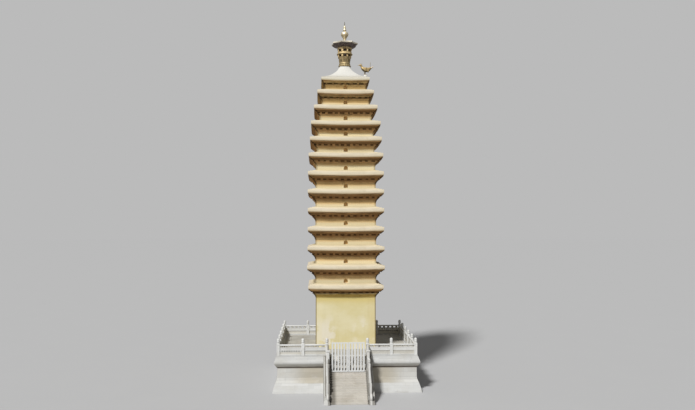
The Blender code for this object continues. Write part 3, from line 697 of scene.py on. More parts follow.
def cream_wash(name, pale, low_edge, slope, bottom_tone):
    """Lime wash over an eave: pale on its edge, darker along the bottom and warmer on the slope above."""
    f = Finish(name, low_edge, 0.88)
    height = f.math("SUBTRACT", f.axis("Z"), f.corner_lift())
    f.cover(f.between(height, 0.02, 0.24), pale)
    f.cover(f.between(height, 0.40, 0.56), slope)
    f.cover(f.between(height, 0.065, 0.035), bottom_tone)
    f.cover(f.patches(0.8, 2.5, 5, 1.5, 0.35, 0.7), scaled(slope, 0.93), 0.35)
    f.cover(f.patches(5, 1.2, 5, 3.5, 0.52, 0.85), low_edge, 0.4)
    bare, joints = scaled(low_edge, 0.8), f.bricks(0.095, 0.007)
    f.cover(f.patches(2.2, 6, 6, 5.5, 0.62, 0.72), bare, 0.35)
    f.cover(joints, bare, 0.14)
    lumps = f.math("MULTIPLY_ADD", joints, -0.35, f.clouds(16, 16, 6, 4.5))
    return f.finish(0.04, f.bump(lumps, 0.009))


def niche_wash():
    """Reddish brown wash inside the niches, made paler to make up for their shade, with painted light on the
    upward faces.
    """
    f = Finish("niche_wash", (218, 194, 146), 0.85, specular=0.15)
    f.cover(f.clouds(8, 8, 4, 2.5), (198, 166, 116))
    # Painted light on the niche floor.
    f.cover(f.between(f.facing("Z"), 0.3, 0.8), (240, 222, 190))
    return f.finish(0.0, f.grain(20, 5, 4.5, 0.006))


def lime_wash():
    """White lime wash of the roof, chalky at the top and warmer below."""
    f = Finish("lime_wash", (208, 206, 199), 0.85, specular=0.15)
    f.cover(f.between(f.axis("Z"), 0.5, 0.05), (200, 195, 182), 0.7)
    f.cover(f.patches(1.6, 2.4, 6, 6.5, 0.5, 0.8), (186, 182, 168), 0.4)
    f.cover(f.patches(2.8, 2.8, 5, 9.5, 0.58, 0.66), (226, 226, 222), 0.6)
    return f.finish(0.04, f.grain(9, 6, 3, 0.012))


def worn_metal(name, bright, dark, roughness, metallic=0.85, under=0.4):
    """Weathered metal, dark in patches; lighter on upward faces as painted light and, by under, darker on its
    undersides as painted shade.
    """
    f = Finish(name, bright, roughness, metallic, specular=0.5)
    patches = f.patches(5, 5, 6, 4, 0.40, 0.66)
    f.cover(patches, dark, 0.5)
    upwards = f.facing("Z")
    # Painted light on upward faces.
    f.cover(f.between(upwards, -0.1, 0.9), scaled(bright, 1.18), 0.35)
    # Painted shade on undersides.
    f.cover(f.between(upwards, 0.1, -0.7), scaled(dark, 0.6), under)
    rough = f.math("MULTIPLY_ADD", patches, 0.25, roughness)
    return f.finish(0.08, f.grain(26, 5, 2, 0.004), rough)


def painted_steel():
    """White gloss paint gone dull, with grime in streaks and a little rust at the ends."""
    f = Finish("painted_steel", (208, 209, 208), 0.45, specular=0.5)
    f.cover(f.patches(9, 1.2, 5, 2, 0.45, 0.85), (160, 160, 156), 0.5)
    f.cover(f.patches(12, 6, 6, 7, 0.68, 0.76), (142, 92, 58), 0.6)
    return f.finish(0.05, f.grain(60, 3, 2, 0.001, 0.4))


def plain_floor():
    f = Finish("plain_floor", FLOOR_GREY, 0.95, specular=0.05)
    f.cover(f.clouds(0.2, 0.2, 2, 1), [value + 2 for value in FLOOR_GREY])
    return f.finish()


# Platform

PAVING, BORDER = range(2)


def add_courses(piece, profile, levels, chamfer, length):
    """Courses of cut stones right round the platform, each stone with a shade of its own."""
    for row, (foot, top) in enumerate(zip(levels, levels[1:])):
        low, high = foot + 0.001, top - 0.001
        half = outline_half(profile, (low + high) / 2)
        columns = joint_columns(round(2 * half / length), half, 0.5 * (row % 2), 0.6 * chamfer)
        rings = []
        for z, inset in ((low, chamfer), (low + chamfer, 0.0), (high - chamfer, 0.0), (high, chamfer)):
            rings.append(square_ring(outline_half(profile, z) - inset, z, columns))
        shades = []
        for _ in range(4):
            shade = dice.random()
            for _, inset in columns:
                if inset:
                    shade = dice.random()
                shades.append(shade)
        piece.add(loft(rings), tint=shades * 3 + [0.5, 0.5])


def add_platform(plinth_finish, waist_finish, cornice_finish, paving_finish):
    for name, profile, levels, chamfer, length, finish in (
        ("plinth", PLINTH_PROFILE, PLINTH_COURSES, 0.008, 1.22, plinth_finish),
        ("waist", WAIST_PROFILE, WAIST_COURSES, 0.010, 1.6, waist_finish),
        ("cornice", CORNICE_PROFILE, CORNICE_COURSES, 0.005, 1.5, cornice_finish),
    ):
        courses = Piece()
        add_courses(courses, profile, levels, chamfer, length)
        courses.build(f"{name}_courses", [finish], [f"platform_{name}"])

    floor = Piece()
    low = (-FLOOR_BASE_HALF, -FLOOR_BASE_HALF, FLOOR_LEVEL - FLOOR_SLAB + 0.001)
    high = (FLOOR_BASE_HALF, FLOOR_BASE_HALF, FLOOR_LEVEL - 0.012)
    floor.add(stone(low, high, 0.004), PAVING, 0.2)
    add_paving(floor)
    floor.build("floor_paving", [paving_finish, cornice_finish], ["platform_floor"])


def add_paving(piece):
    """A border of long stones and square pavers inside it, left out under the tower."""
    low = FLOOR_LEVEL - FLOOR_SLAB + 0.002
    inner = FLOOR_HALF - BORDER_WIDTH
    ends = [-FLOOR_HALF + (FLOOR_HALF + inner) * i / BORDER_STONES for i in range(BORDER_STONES + 1)]
    for side in range(4):
        for start, end in zip(ends, ends[1:]):
            spot = ((start + 0.002, -FLOOR_HALF, low), (end - 0.002, -inner - 0.002, FLOOR_LEVEL))
            piece.add(stone(*spot, 0.006), BORDER, dice.random(), quarter_turns(side))
    count = round(2 * inner / PAVER)
    side = 2 * inner / count
    bare = WALL_HALVES[0] - 0.05
    for i, j in itertools.product(range(count), repeat=2):
        x, y = -inner + side * i, -inner + side * j
        if max(abs(x), abs(x + side)) < bare and max(abs(y), abs(y + side)) < bare:
            continue
        top = FLOOR_LEVEL - 0.003 * dice.random()
        block = stone((x + 0.002, y + 0.002, low), (x + side - 0.002, y + side - 0.002, top), 0.005)
        piece.add(block, PAVING, dice.random())


# Balustrades

CARVED_ANGLE = 38
POST_PANEL = (0.055, 0.11, 0.012)
SLAB_PANEL = (0.07, 0.05, 0.010)
LOWER_PANEL = (0.09, 0.05, 0.008)
PALE, STAINED = range(2)
# A bay's groove, the tint of its core (dark, as painted shade in the groove), the pitch and girth of the
# supports under the rail, and blocks in the groove
PLAIN_BAY = (GROOVE, -4.0, 0.44, 2.3, False)
FINE_BAY = (WIDE_GROOVE, -6.0, 0.22, 1.0, True)
CLOSE_BAY = (GROOVE, -1.0, 0.44, 3.4, False)
BUD_PROFILE = (
    (0.115, -0.01), (0.112, 0.03), (0.080, 0.05), (0.100, 0.075), (0.136, 0.11), (0.140, 0.16),
    (0.128, 0.23), (0.140, 0.31), (0.124, 0.38), (0.088, 0.43), (0.040, 0.455), (0.004, 0.46),
)
VASE_PROFILE = (
    (0.050, -0.004), (0.060, 0.015), (0.040, 0.038), (0.046, 0.055), (0.060, 0.085), (0.050, 0.112),
    (0.058, 0.144),
)
VASE_HEIGHT = VASE_PROFILE[-1][1]


def add_vase(piece, finish, tint, place):
    piece.add(turned(smooth_profile(VASE_PROFILE), 16), finish, tint, place)


def add_bud(piece, place, shade):
    """The head of a post: a collar, a neck and a lotus bud with eight petals."""
    piece.add(stone((-0.12, -0.12, -0.004), (0.12, 0.12, 0.03), 0.008), PALE, shade, place)
    piece.add(turned(smooth_profile(BUD_PROFILE), 24, 8, 0.07), PALE, shade, place)


def add_post(piece, place, x):
    half = POST_SIDE / 2
    panels = {(axis, side): POST_PANEL for axis in (0, 1) for side in (0, 1)}
    shade = dice.random()
    shaft = stone((x - half, -half, 0.001), (x + half, half, POST_SHAFT), 0.014, panels)
    piece.add(shaft, PALE, shade, place)
    add_bud(piece, place @ shift(x, 0, POST_SHAFT), shade)


def add_bay(piece, place, start, end, kind):
    """Sill, slab, supports and hand rail between two posts."""
    (groove_low, groove_high), groove_painted_shade, pitch, girth, blocks = kind
    reach = POST_SIDE / 2 - 0.005
    low, high = start + reach, end - reach

    def add_bar(half, bottom, top, chamfer, finish, tint, panel=None):
        panels = {(1, 0): panel, (1, 1): panel} if panel else None
        piece.add(stone((low, -half, bottom), (high, half, top), chamfer, panels), finish, tint, place)

    shade = dice.random()
    half = SLAB_WIDTH / 2
    add_bar(SILL_WIDTH / 2, 0.001, SILL_HEIGHT, 0.016, PALE, shade - 1.2)
    add_bar(half - 0.010, SILL_HEIGHT - 0.006, groove_low, 0.006, STAINED, dice.random(), LOWER_PANEL)
    # The core in the groove is tinted dark: painted shade.
    add_bar(0.025, groove_low - 0.02, groove_high + 0.02, 0.004, STAINED, groove_painted_shade)
    add_bar(half, groove_high, SLAB_TOP, 0.008, PALE, dice.random(), SLAB_PANEL)
    add_bar(RAIL_WIDTH / 2, RAIL_BOTTOM, RAIL_TOP, 0.035, PALE, 1.2)
    size = Matrix.Diagonal((girth, 0.80, 1.0, 1.0))
    depth = half - 0.002
    count = round((high - low) / pitch)
    for i in range(count):
        x = low + (high - low) * (i + 0.5) / count
        # The supports are tinted darker as painted shade under the rail.
        add_vase(piece, STAINED, shade - 1.0, place @ shift(x, 0, SLAB_TOP) @ size)
        if blocks:
            spot = ((x - 0.055, -depth, groove_low - 0.004), (x + 0.055, depth, groove_high + 0.004))
            piece.add(stone(*spot, 0.006), PALE, shade, place)


def add_run(where, posts, place, finishes, ends=(), kinds=()):
    """A run of posts and bays. ends are bay ends at another run's post, kinds those of the first bays."""
    piece = Piece()
    for x in posts:
        add_post(piece, place, x)
    stops = sorted([*posts, *ends])
    for start, end, kind in itertools.zip_longest(stops[:-1], stops[1:], kinds, fillvalue=PLAIN_BAY):
        add_bay(piece, place, start, end, kind)
    name, node = f"balustrade_run_{where}", f"balustrade_{where}"
    piece.build(name, finishes, [node], round_under=CARVED_ANGLE)


def add_balustrades(finishes):
    side_posts = [-POST_LINE + 2 * POST_LINE * i / SIDE_BAYS for i in range(SIDE_BAYS + 1)]
    add_run("back", side_posts, shift(0, POST_LINE, FLOOR_LEVEL), finishes)
    for x, where in ((-POST_LINE, "left"), (POST_LINE, "right")):
        place = shift(x, 0, FLOOR_LEVEL) @ quarter_turns(1)
        add_run(where, side_posts[1:-1], place, finishes, (-POST_LINE, POST_LINE))
    front = shift(0, -POST_LINE, FLOOR_LEVEL)
    left = (-POST_LINE, -MIDDLE_POST_X, -STAIR_POST_X)
    add_run("front_left", left, front, finishes, kinds=(FINE_BAY,))
    right = (STAIR_POST_X, MIDDLE_POST_X, POST_LINE)
    add_run("front_right", right, front, finishes, kinds=(CLOSE_BAY, CLOSE_BAY))


# Stair; the lines that its parts follow give a height for each y

RISE = FLOOR_LEVEL / STEP_COUNT
GOING = (STAIR_TOP_Y - STAIR_FOOT_Y) / (STEP_COUNT - 1)
CURB_CENTRE = STEP_HALF_WIDTH + CURB_WIDTH / 2


def nosing_height(y):
    """The line through the front edges of the steps."""
    return RISE + (y - STAIR_FOOT_Y) / GOING * RISE


def nosing_y(height):
    return STAIR_FOOT_Y + (height - RISE) / RISE * GOING


def curb_height(y):
    return min(nosing_height(y) + CURB_ABOVE_NOSINGS, FLOOR_LEVEL)


def rail_line(y):
    return min(nosing_height(y) + STAIR_RAIL_ABOVE_NOSINGS, FLOOR_LEVEL + RAIL_TOP)


def rail_bottom(y):
    return rail_line(y) - STAIR_RAIL_DEPTH


def slab_top(y):
    return rail_bottom(y) - STAIR_SLAB_GAP


def raised(line, rise):
    return lambda y: line(y) + rise


# Where the lines stop rising
BENDS = sorted((
    nosing_y(FLOOR_LEVEL - CURB_ABOVE_NOSINGS),
    nosing_y(FLOOR_LEVEL + RAIL_TOP - STAIR_RAIL_ABOVE_NOSINGS),
))


def sloping_stone(y_low, y_high, x, width, low_line, high_line, chamfer):
    """A chamfered stone that runs up the stair between two lines."""
    stations = [(y_low, chamfer), (y_low + chamfer, 0.0)]
    stations += [(bend, 0.0) for bend in BENDS if y_low + 2 * chamfer < bend < y_high - 2 * chamfer]
    stations += [(y_high - chamfer, 0.0), (y_high, chamfer)]
    rings = []
    for y, inset in stations:
        half, low, high = width / 2 - inset, low_line(y) + inset, high_line(y) - inset
        cut = chamfer - inset
        rings.append([
            (x - half + cut, y, low), (x + half - cut, y, low), (x + half, y, low + cut),
            (x + half, y, high - cut), (x + half - cut, y, high), (x - half + cut, y, high),
            (x - half, y, high - cut), (x - half, y, low + cut),
        ])
    return loft(rings)


def clipped(outline, keep):
    """The part of an outline of (y, z) points where keep, a linear function of the point, is over 0."""
    kept = []
    for a, b in zip(outline, outline[1:] + outline[:1]):
        at_a, at_b = keep(a), keep(b)
        if at_a > 0:
            kept.append(a)
        if (at_a > 0) != (at_b > 0):
            share = at_a / (at_a - at_b)
            kept.append((a[0] + (b[0] - a[0]) * share, a[1] + (b[1] - a[1]) * share))
    return kept


def add_steps(finish):
    piece = Piece()
    for step in range(STEP_COUNT):
        y = STAIR_FOOT_Y + step * GOING
        back = y + GOING + 0.06 if step < STEP_COUNT - 1 else -FLOOR_HALF - 0.004
        joints = STEP_JOINTS[step % 2]
        for x_low, x_high in zip((-STEP_HALF_WIDTH, *joints), (*joints, STEP_HALF_WIDTH)):
            low = (x_low + 0.0015, y, step * RISE - (0.02 if step else 0.0))
            high = (x_high - 0.0015, back, (step + 1) * RISE - 0.002 * dice.random())
            piece.add(stone(low, high, 0.012), tint=dice.random())
    piece.build("stair_steps", [finish], ["stair_flight"])


def add_curb(side, name, finish):
    """Coursed blocks under sloping coping stones."""
    piece = Piece()
    centre = side * CURB_CENTRE
    half = CURB_WIDTH / 2 - 0.008
    top = FLOOR_LEVEL - COPING

    def under_coping(point):
        return nosing_height(point[0]) + CURB_ABOVE_NOSINGS - COPING - CURB_JOINT - point[1]

    for row in range(int(top / CURB_ROW) + 1):
        low, high = row * CURB_ROW, min((row + 1) * CURB_ROW, top) - CURB_JOINT
        joints = [CURB_FOOT_Y + CURB_STONE * i - CURB_SHIFT * (row % 2) for i in range(7)]
        joints = [y for y in joints if CURB_FOOT_Y + 0.1 < y < CURB_LAST_JOINT_Y]
        for start, end in zip([CURB_FOOT_Y, *joints], [*joints, CURB_END_Y]):
            end -= CURB_JOINT
            outline = clipped([(start, low), (end, low), (end, high), (start, high)], under_coping)
            if len(outline) > 2:
                piece.add(prism(outline, centre - half, centre + half, "X"), tint=dice.random())
    lines = (raised(curb_height, -COPING), curb_height)
    for y_low, y_high in zip(COPING_ENDS, COPING_ENDS[1:]):
        cap = sloping_stone(y_low, y_high - 0.003, centre, CURB_WIDTH - 0.002, *lines, 0.012)
        piece.add(cap, tint=dice.random())
    piece.build(f"curb_stones_{name}", [finish], [f"stair_curb_{name}"])


def add_stair_panel(piece, y_low, y_high, x):
    """Carved slab, small vases and hand rail of one sloping bay."""
    shade = dice.random()

    def add_part(width, low_line, high_line, chamfer, tint, at=x, margin=0.0):
        part = sloping_stone(y_low + margin, y_high - margin, at, width, low_line, high_line, chamfer)
        piece.add(part, tint=tint)

    add_part(SILL_WIDTH, raised(curb_height, 0.001), raised(curb_height, 0.09), 0.012, shade)
    add_part(SLAB_WIDTH, raised(curb_height, 0.07), slab_top, 0.008, shade)
    for face in (-1, 1):
        lines = (raised(curb_height, 0.16), raised(slab_top, -0.07))
        add_part(0.02, *lines, 0.004, shade * 0.8, x + face * (SLAB_WIDTH / 2), 0.12)
    add_part(STAIR_RAIL_WIDTH, rail_bottom, rail_line, 0.065, -0.4)
    count = max(2, round((y_high - y_low) / STAIR_VASE_PITCH))
    for i in range(count):
        y = y_low + (y_high - y_low) * (i + 0.5) / count
        base = slab_top(y) - 0.03
        height = rail_bottom(y) + 0.03 - base
        size = Matrix.Diagonal((STAIR_VASE_GIRTH, 1.0, height / VASE_HEIGHT, 1.0))
        add_vase(piece, 0, shade, shift(x, y, base) @ size)


def add_newel(piece, x, y, side, top):
    """A square post whose foot follows the sloping curb."""
    half = side / 2
    shaft = sloping_stone(y - half, y + half, x, side, raised(curb_height, 0.001), lambda _: top, 0.014)
    piece.add(shaft, tint=dice.random())


def add_stair_balustrades(finish):
    post_half = POST_SIDE / 2
    gate_half = GATE_POST_SIDE / 2
    for side, name in ((-1, "left"), (1, "right")):
        x = side * STAIR_RAIL_X
        upper = Piece()
        add_stair_panel(upper, GATE_Y + gate_half + 0.001, -POST_LINE - post_half - 0.001, x)
        nodes = [f"stair_rail_upper_{name}"]
        upper.build(f"rail_upper_{name}", [finish], nodes, round_under=CARVED_ANGLE)

        lower = Piece()
        shaft_top = NEWEL_TOP - (POST_HEIGHT - POST_SHAFT)
        add_newel(lower, x, NEWEL_Y, POST_SIDE, shaft_top)
        add_bud(lower, shift(x, NEWEL_Y, shaft_top), 0.5)
        add_newel(lower, x, END_NEWEL_Y, POST_SIDE, rail_line(END_NEWEL_Y) + 0.04)
        add_stair_panel(lower, NEWEL_Y + post_half - 0.01, GATE_Y - gate_half - 0.001, x)
        add_stair_panel(lower, END_NEWEL_Y + post_half - 0.01, NEWEL_Y - post_half + 0.01, x)
        nodes = [f"stair_rail_lower_{name}"]
        lower.build(f"rail_lower_{name}", [finish], nodes, round_under=CARVED_ANGLE)
        add_drum_stone(side, name, finish)


DISC_PROFILE = (
    (0.02, 0.108), (0.07, 0.104), (0.10, 0.088), (0.11, 0.086), (0.23, 0.086), (0.245, 0.094),
    (0.255, 0.108), (0.305, 0.108), (0.325, 0.098), (0.33, 0.080),
)


def add_drum_stone(side, name, finish):
    """A round stone on edge with a rim and a boss on each face, in a cradle on a stepped base."""
    piece = Piece()
    x = side * STAIR_RAIL_X
    profile = [(radius, -z) for radius, z in DISC_PROFILE] + list(reversed(DISC_PROFILE))
    on_edge = shift(x, DRUM_CENTRE_Y, DRUM_CENTRE_Z) @ rotation(math.pi / 2, "Y")
    piece.add(turned(profile, 48), tint=0.6, place=on_edge)
    centre = side * CURB_CENTRE
    half = CURB_WIDTH / 2 - 0.02
    front, back = DRUM_BASE_FRONT_Y, CURB_FOOT_Y - 0.002
    piece.add(stone((centre - half, front, 0.0), (centre + half, back, DRUM_BASE_STEP), 0.014), tint=0.4)
    half -= 0.03
    low, high = (centre - half, front + 0.03, DRUM_BASE_STEP - 0.005), (centre + half, back, DRUM_BASE_HEIGHT)
    piece.add(stone(low, high, 0.02), tint=0.5)
    low = (x - CRADLE_HALF, CRADLE_ENDS[0], DRUM_BASE_HEIGHT - 0.01)
    high = (x + CRADLE_HALF, CRADLE_ENDS[1], CRADLE_TOP)
    piece.add(stone(low, high, 0.03), tint=0.55)
    nodes = [f"drum_stone_{name}"]
    piece.build(f"drum_disc_{name}", [finish], nodes, round_under=CARVED_ANGLE)


# Gate


def add_gate(stone_finish, steel_finish):
    for side, name in ((-1, "left"), (1, "right")):
        x = side * GATE_POST_X
        post = Piece()
        add_newel(post, x, GATE_Y, GATE_POST_SIDE, GATE_POST_TOP - GATE_CAP_HEIGHT + 0.01)
        half = GATE_CAP_SIDE / 2
        low = (x - half, GATE_Y - half, GATE_POST_TOP - GATE_CAP_HEIGHT)
        high = (x + half, GATE_Y + half, GATE_POST_TOP)
        post.add(stone(low, high, 0.02), tint=0.9)
        post.build(f"gate_pillar_{name}", [stone_finish], [f"gate_post_{name}"])
        add_leaf(side, name, steel_finish)


def add_leaf(side, name, finish):
    """A leaf of flat bars between two rails, with a latch plate and two eyes on arms."""
    piece = Piece()
    outer, meeting = side * LEAF_EDGE_X, side * LEAF_MEETING_X

    def add_block(x_a, x_b, half_depth, low, high, chamfer, tint):
        start = (min(x_a, x_b), GATE_Y - half_depth, low)
        end = (max(x_a, x_b), GATE_Y + half_depth, high)
        piece.add(stone(start, end, chamfer), tint=tint)

    for low in (LEAF_BOTTOM, LEAF_TOP - LEAF_RAIL_HEIGHT):
        add_block(outer, meeting, 0.025, low, low + LEAF_RAIL_HEIGHT, 0.004, 0.7)
    half = BAR_WIDTH / 2
    first = outer - side * (half + 0.001)
    last = meeting + side * (half + 0.001)
    for i in range(LEAF_BARS):
        x = first + (last - first) * i / (LEAF_BARS - 1)
        add_block(x - half, x + half, 0.02, LEAF_BOTTOM + 0.02, LEAF_TOP - 0.02, 0.006, dice.random())
    low, high = LATCH_Z - LATCH_HALF_HEIGHT, LATCH_Z + LATCH_HALF_HEIGHT
    add_block(meeting, meeting + side * LATCH_WIDTH, 0.0245, low, high, 0.003, 1.0)
    for foot in EYE_FEET:
        top = foot + EYE_HEIGHT
        outline = ((EYE_RADIUS, foot), (EYE_RADIUS, top), (EYE_BORE, top), (EYE_BORE, foot))
        eye = loft([circle(radius, z, 24) for radius, z in outline], ring_closed=True)
        piece.add(eye, tint=0.4, place=shift(side * HINGE_X, GATE_Y, 0))
        arm_start = side * (HINGE_X - EYE_RADIUS + 0.004)
        add_block(arm_start, outer - side * 0.02, 0.012, foot + 0.02, foot + 0.06, 0.002, 0.4)
    nodes = [f"gate_leaf_{name}"]
    piece.build(f"leaf_{name}", [finish], nodes, f"gate_{name}", round_under=30)


# Tower

BRICK, WASH, NICHE = range(3)
SHADE_COUNT = 80


def slope_top(storey):
    """Height where the wall of the next storey starts."""
    return EAVE_BOTTOMS[storey] + EAVE_THICKNESS + SLOPE_RISE


def corbel_out(up):
    """Share of the way from wall to eave at this share of the corbelling's height."""
    for (out_a, up_a), (out_b, up_b) in zip(CORBEL_STEPS, CORBEL_STEPS[1:]):
        if up <= up_b:
            return out_a + (out_b - out_a) * (up - up_a) / (up_b - up_a)
    return CORBEL_STEPS[-1][0]


def cut(shape, cutters):
    """The shape with the closed cutters taken out of it."""
    helpers = bpy.data.collections.new("cutters")
    bpy.context.scene.collection.children.link(helpers)
    made = [bpy.data.objects.new("cutter", outward_mesh("cutter", *solid)) for solid in (shape, *cutters)]
    bpy.context.scene.collection.objects.link(made[0])
    for obj in made[1:]:
        helpers.objects.link(obj)
    modifier = made[0].modifiers.new("cut", "BOOLEAN")
    modifier.operand_type = "COLLECTION"
    modifier.collection = helpers
    modifier.solver = "EXACT"
    bpy.context.view_layer.update()
    result = made[0].evaluated_get(bpy.context.evaluated_depsgraph_get()).to_mesh()
    points = [tuple(vertex.co) for vertex in result.vertices]
    faces = [tuple(polygon.vertices) for polygon in result.polygons]
    made[0].to_mesh_clear()
    for obj in made:
        mesh = obj.data
        bpy.data.objects.remove(obj)
        bpy.data.meshes.remove(mesh)
    bpy.data.collections.remove(helpers)
    return points, faces


def storey_levels(storey):
    """Outline of a storey from its foot up, as (half-width, height, lift at the corners)."""
    wall, eave, bottom = WALL_HALVES[storey], EAVE_HALVES[storey], EAVE_BOTTOMS[storey]
    start = bottom - CORBEL_HEIGHT
    levels = []
    if storey:
        levels += [(wall, slope_top(storey - 1) + 0.001, 0.0), (wall, start, 0.0)]
    courses = round((bottom - start) / COURSE)
    rise = (bottom - start) / courses
    for course in range(courses):
        out = corbel_out((course + 0.75) / courses)
        half = wall + (eave - wall) * out
        if TOOTH_ROWS[0] < (course + 0.5) / courses < TOOTH_ROWS[1]:
            half -= TOOTH_DEPTH
        low = start + course * rise
        lift = CORNER_LIFT * out * out
        levels += [(half, low, lift), (half, low + rise, lift)]
    last = storey == LAST_STOREY
    thickness = TOP_EAVE_THICKNESS if last else EAVE_THICKNESS
    rows = len(EAVE_COURSE_INSETS)
    for i, inset in enumerate(EAVE_COURSE_INSETS):
        low, high = bottom + thickness * i / rows, bottom + thickness * (i + 1) / rows
        lift = 0.0 if last and i == rows - 1 else CORNER_LIFT
        levels += [(eave - inset, low, CORNER_LIFT), (eave - inset, high, lift)]
    if not last:
        inner = WALL_HALVES[storey + 1] + 0.03
        foot, top = bottom + thickness, slope_top(storey)
        steps = round((top - foot) / COURSE)
        for i in range(steps):
            share = (i + 0.8) / steps
            half = eave + (inner - eave) * share
            lift = CORNER_LIFT * (1 - share)
            low, high = foot + (top - foot) * i / steps, foot + (top - foot) * (i + 1) / steps
            levels += [(half, low, lift), (half - 0.012, high, lift)]
    return levels


def niche_cutters(storey):
    """Four round-headed niches, one in the middle of each side."""
    foot = slope_top(storey - 1) + 0.02
    half = NICHE_WIDTH / 2
    outline = [(-half, foot), (half, foot)]
    for step in range(NICHE_ARCH_STEPS + 1):
        angle = math.pi * step / NICHE_ARCH_STEPS
        outline.append((half * math.cos(angle), foot + NICHE_HEIGHT - half + half * math.sin(angle)))
    wall = WALL_HALVES[storey]
    shape = prism(outline, -wall - 0.6, -wall + NICHE_DEPTH, "Y")
    return [moved(shape, quarter_turns(side)) for side in range(4)]


def tooth_band(storey):
    """Foot, top and outer half-width of the band that holds the row of teeth, and its lift at the corners."""
    low, high = (EAVE_BOTTOMS[storey] + CORBEL_HEIGHT * (share - 1) for share in TOOTH_ROWS)
    out = corbel_out(sum(TOOTH_ROWS) / 2)
    half = WALL_HALVES[storey] + (EAVE_HALVES[storey] - WALL_HALVES[storey]) * out
    return low, high, half, CORNER_LIFT * out * out


def add_teeth(piece, storey):
    """The row of short blocks in the corbelling, with gaps between them, whose recess add_storey tints dark as
    painted shade, and a block at each corner.
    """
    low, high, half, lift = tooth_band(storey)
    count = round(2 * half / TOOTH_PITCH)
    back = -half + TOOTH_DEPTH + 0.06
    for side in range(4):
        turn = quarter_turns(side)
        for i in range(count):
            x = -half + 2 * half * (i + 0.4 + 0.2 * dice.random()) / count
            rise = lift * ((x / half) ** 2 - 0.5)
            wide = TOOTH_WIDTH * (0.7 + 0.6 * dice.random()) / 2
            spot = ((x - wide, -half, low - 0.004 + rise), (x + wide, back, high + 0.004 + rise))
            piece.add(stone(*spot, 0.012), BRICK, dice.random(), turn)
        spot = ((-half, -half, low + lift / 2 - 0.006), (back, back, high + lift / 2 + 0.006))
        piece.add(stone(*spot, 0.012), BRICK, dice.random(), turn)


def add_storey(storey, brick, wash, niche):
    """Courses of one storey from its wall up to its eave and slope, with niches and teeth."""
    piece = Piece()
    columns = even_columns(16, 0.996)
    levels = storey_levels(storey)
    shape = loft([square_ring(half, z, columns, lift, 1.0 + storey) for half, z, lift in levels])
    if storey:
        shape = cut(shape, niche_cutters(storey))
    shades = [dice.random() for _ in range(SHADE_COUNT)]
    bottom, wall = EAVE_BOTTOMS[storey], WALL_HALVES[storey]
    band_low, band_high, band_half, _ = tooth_band(storey)
    points, faces = shape
    finishes, tints = [], []
    for face in faces:
        middle = sum((Vector(points[i]) for i in face), Vector()) / len(face)
        out = max(abs(middle.x), abs(middle.y))
        along = min(abs(middle.x), abs(middle.y))
        lift = CORNER_LIFT * ((along / out) ** 2 - 0.5)
        sheltered = along < NICHE_WIDTH / 2 + 0.001 and wall - NICHE_DEPTH - 0.01 < out < wall - 0.02
        tint = shades[int((middle.z - bottom + 3.0) / COURSE) % SHADE_COUNT]
        finish = BRICK
        if storey and sheltered and middle.z < bottom - 0.3:
            finish = NICHE
        elif middle.z - lift > bottom + 0.012:
            finish = WASH
        elif band_low - 0.01 < middle.z - lift < band_high + 0.01 and out < band_half - 0.02:
            # Painted shade in the recess behind the teeth.
            tint = RECESS_SHADE_TINT
        finishes.append(finish)
        tints.append(tint)
    piece.add(shape, finishes, tints)
    add_teeth(piece, storey)
    name, node = f"courses_{storey + 1:02d}", f"storey_{storey + 1:02d}" if storey else "storey_01_eave"
    piece.build(name, [brick, wash, niche], [node], origin=(0, 0, bottom))


def add_wall(plaster):
    """The tall lowest wall: plaster over brick, slightly uneven, with softened corners."""
    piece = Piece()
    foot = FLOOR_LEVEL + 0.001
    top = EAVE_BOTTOMS[0] - CORBEL_HEIGHT - 0.001
    columns = even_columns(28, 0.994)
    heights = [foot + (top - foot) * row / WALL_ROWS for row in range(WALL_ROWS + 1)]
    piece.add(loft([square_ring(WALL_HALVES[0], z, columns, uneven=0.5) for z in heights]))
    piece.build("plaster_wall", [plaster], ["storey_01_wall"], round_under=30)


# Roof and finial


def add_roof(lime):
    """A hollow-sided tent roof that turns rounder towards the finial, and the bird's pedestal."""
    piece = Piece()
    columns = even_columns(12, 0.99)
    foot, top = ROOF_PROFILE[0][1], ROOF_PROFILE[-1][1]
    rings = []
    for half, z in smooth_profile(ROOF_PROFILE, 4):
        share = (z - foot) / (top - foot)
        ring = []
        for point in square_ring(half, z, columns):
            flat = Vector((point.x, point.y))
            flat = flat.lerp(flat.normalized() * half, 0.75 * share)
            ring.append((flat.x, flat.y, z))
        rings.append(ring)
    piece.add(loft(rings))
    x, y, _ = BIRD_PLACE
    half = PEDESTAL_SIDE / 2
    pedestal = stone((x - half, y - half, PEDESTAL_FOOT), (x + half, y + half, PEDESTAL_TOP), 0.02)
    piece.add(pedestal, tint=0.6)
    piece.build("tent_roof", [lime], ["roof_cap"], origin=(0, 0, 29.43), round_under=50)


BASE_PROFILE = (
    (0.59, 30.882), (0.60, 30.90), (0.63, 30.93), (0.64, 30.96), (0.62, 31.00), (0.59, 31.03),
    (0.60, 31.06), (0.58, 31.09), (0.56, 31.12), (0.56, 31.149),
)
DRUM_OUTLINE = (
    (0.54, 31.152), (0.56, 31.20), (0.53, 31.26), (0.52, 31.42), (0.535, 31.55), (0.56, 31.62),
    (0.60, 31.72), (0.65, 31.84), (0.665, 31.87), (0.68, 31.96), (0.695, 32.10), (0.76, 32.12),
    (0.79, 32.15), (0.79, 32.20), (0.75, 32.24), (0.70, 32.29), (0.70, 32.37), (0.705, 32.50),
    (0.71, 32.62), (0.735, 32.65), (0.735, 32.69), (0.71, 32.72), (0.72, 32.818),
)
DRUM_SIDES = 72
DRUM_WALL = 0.05
DRUM_OPENING_ROWS = ((31.87, 32.10), (32.37, 32.62))
DRUM_OPENING_TURN = 15
DRUM_FOOT_TOP = 31.42
DRUM_FOOT_TINT = -1.5
PANEL_FOOT = 31.36
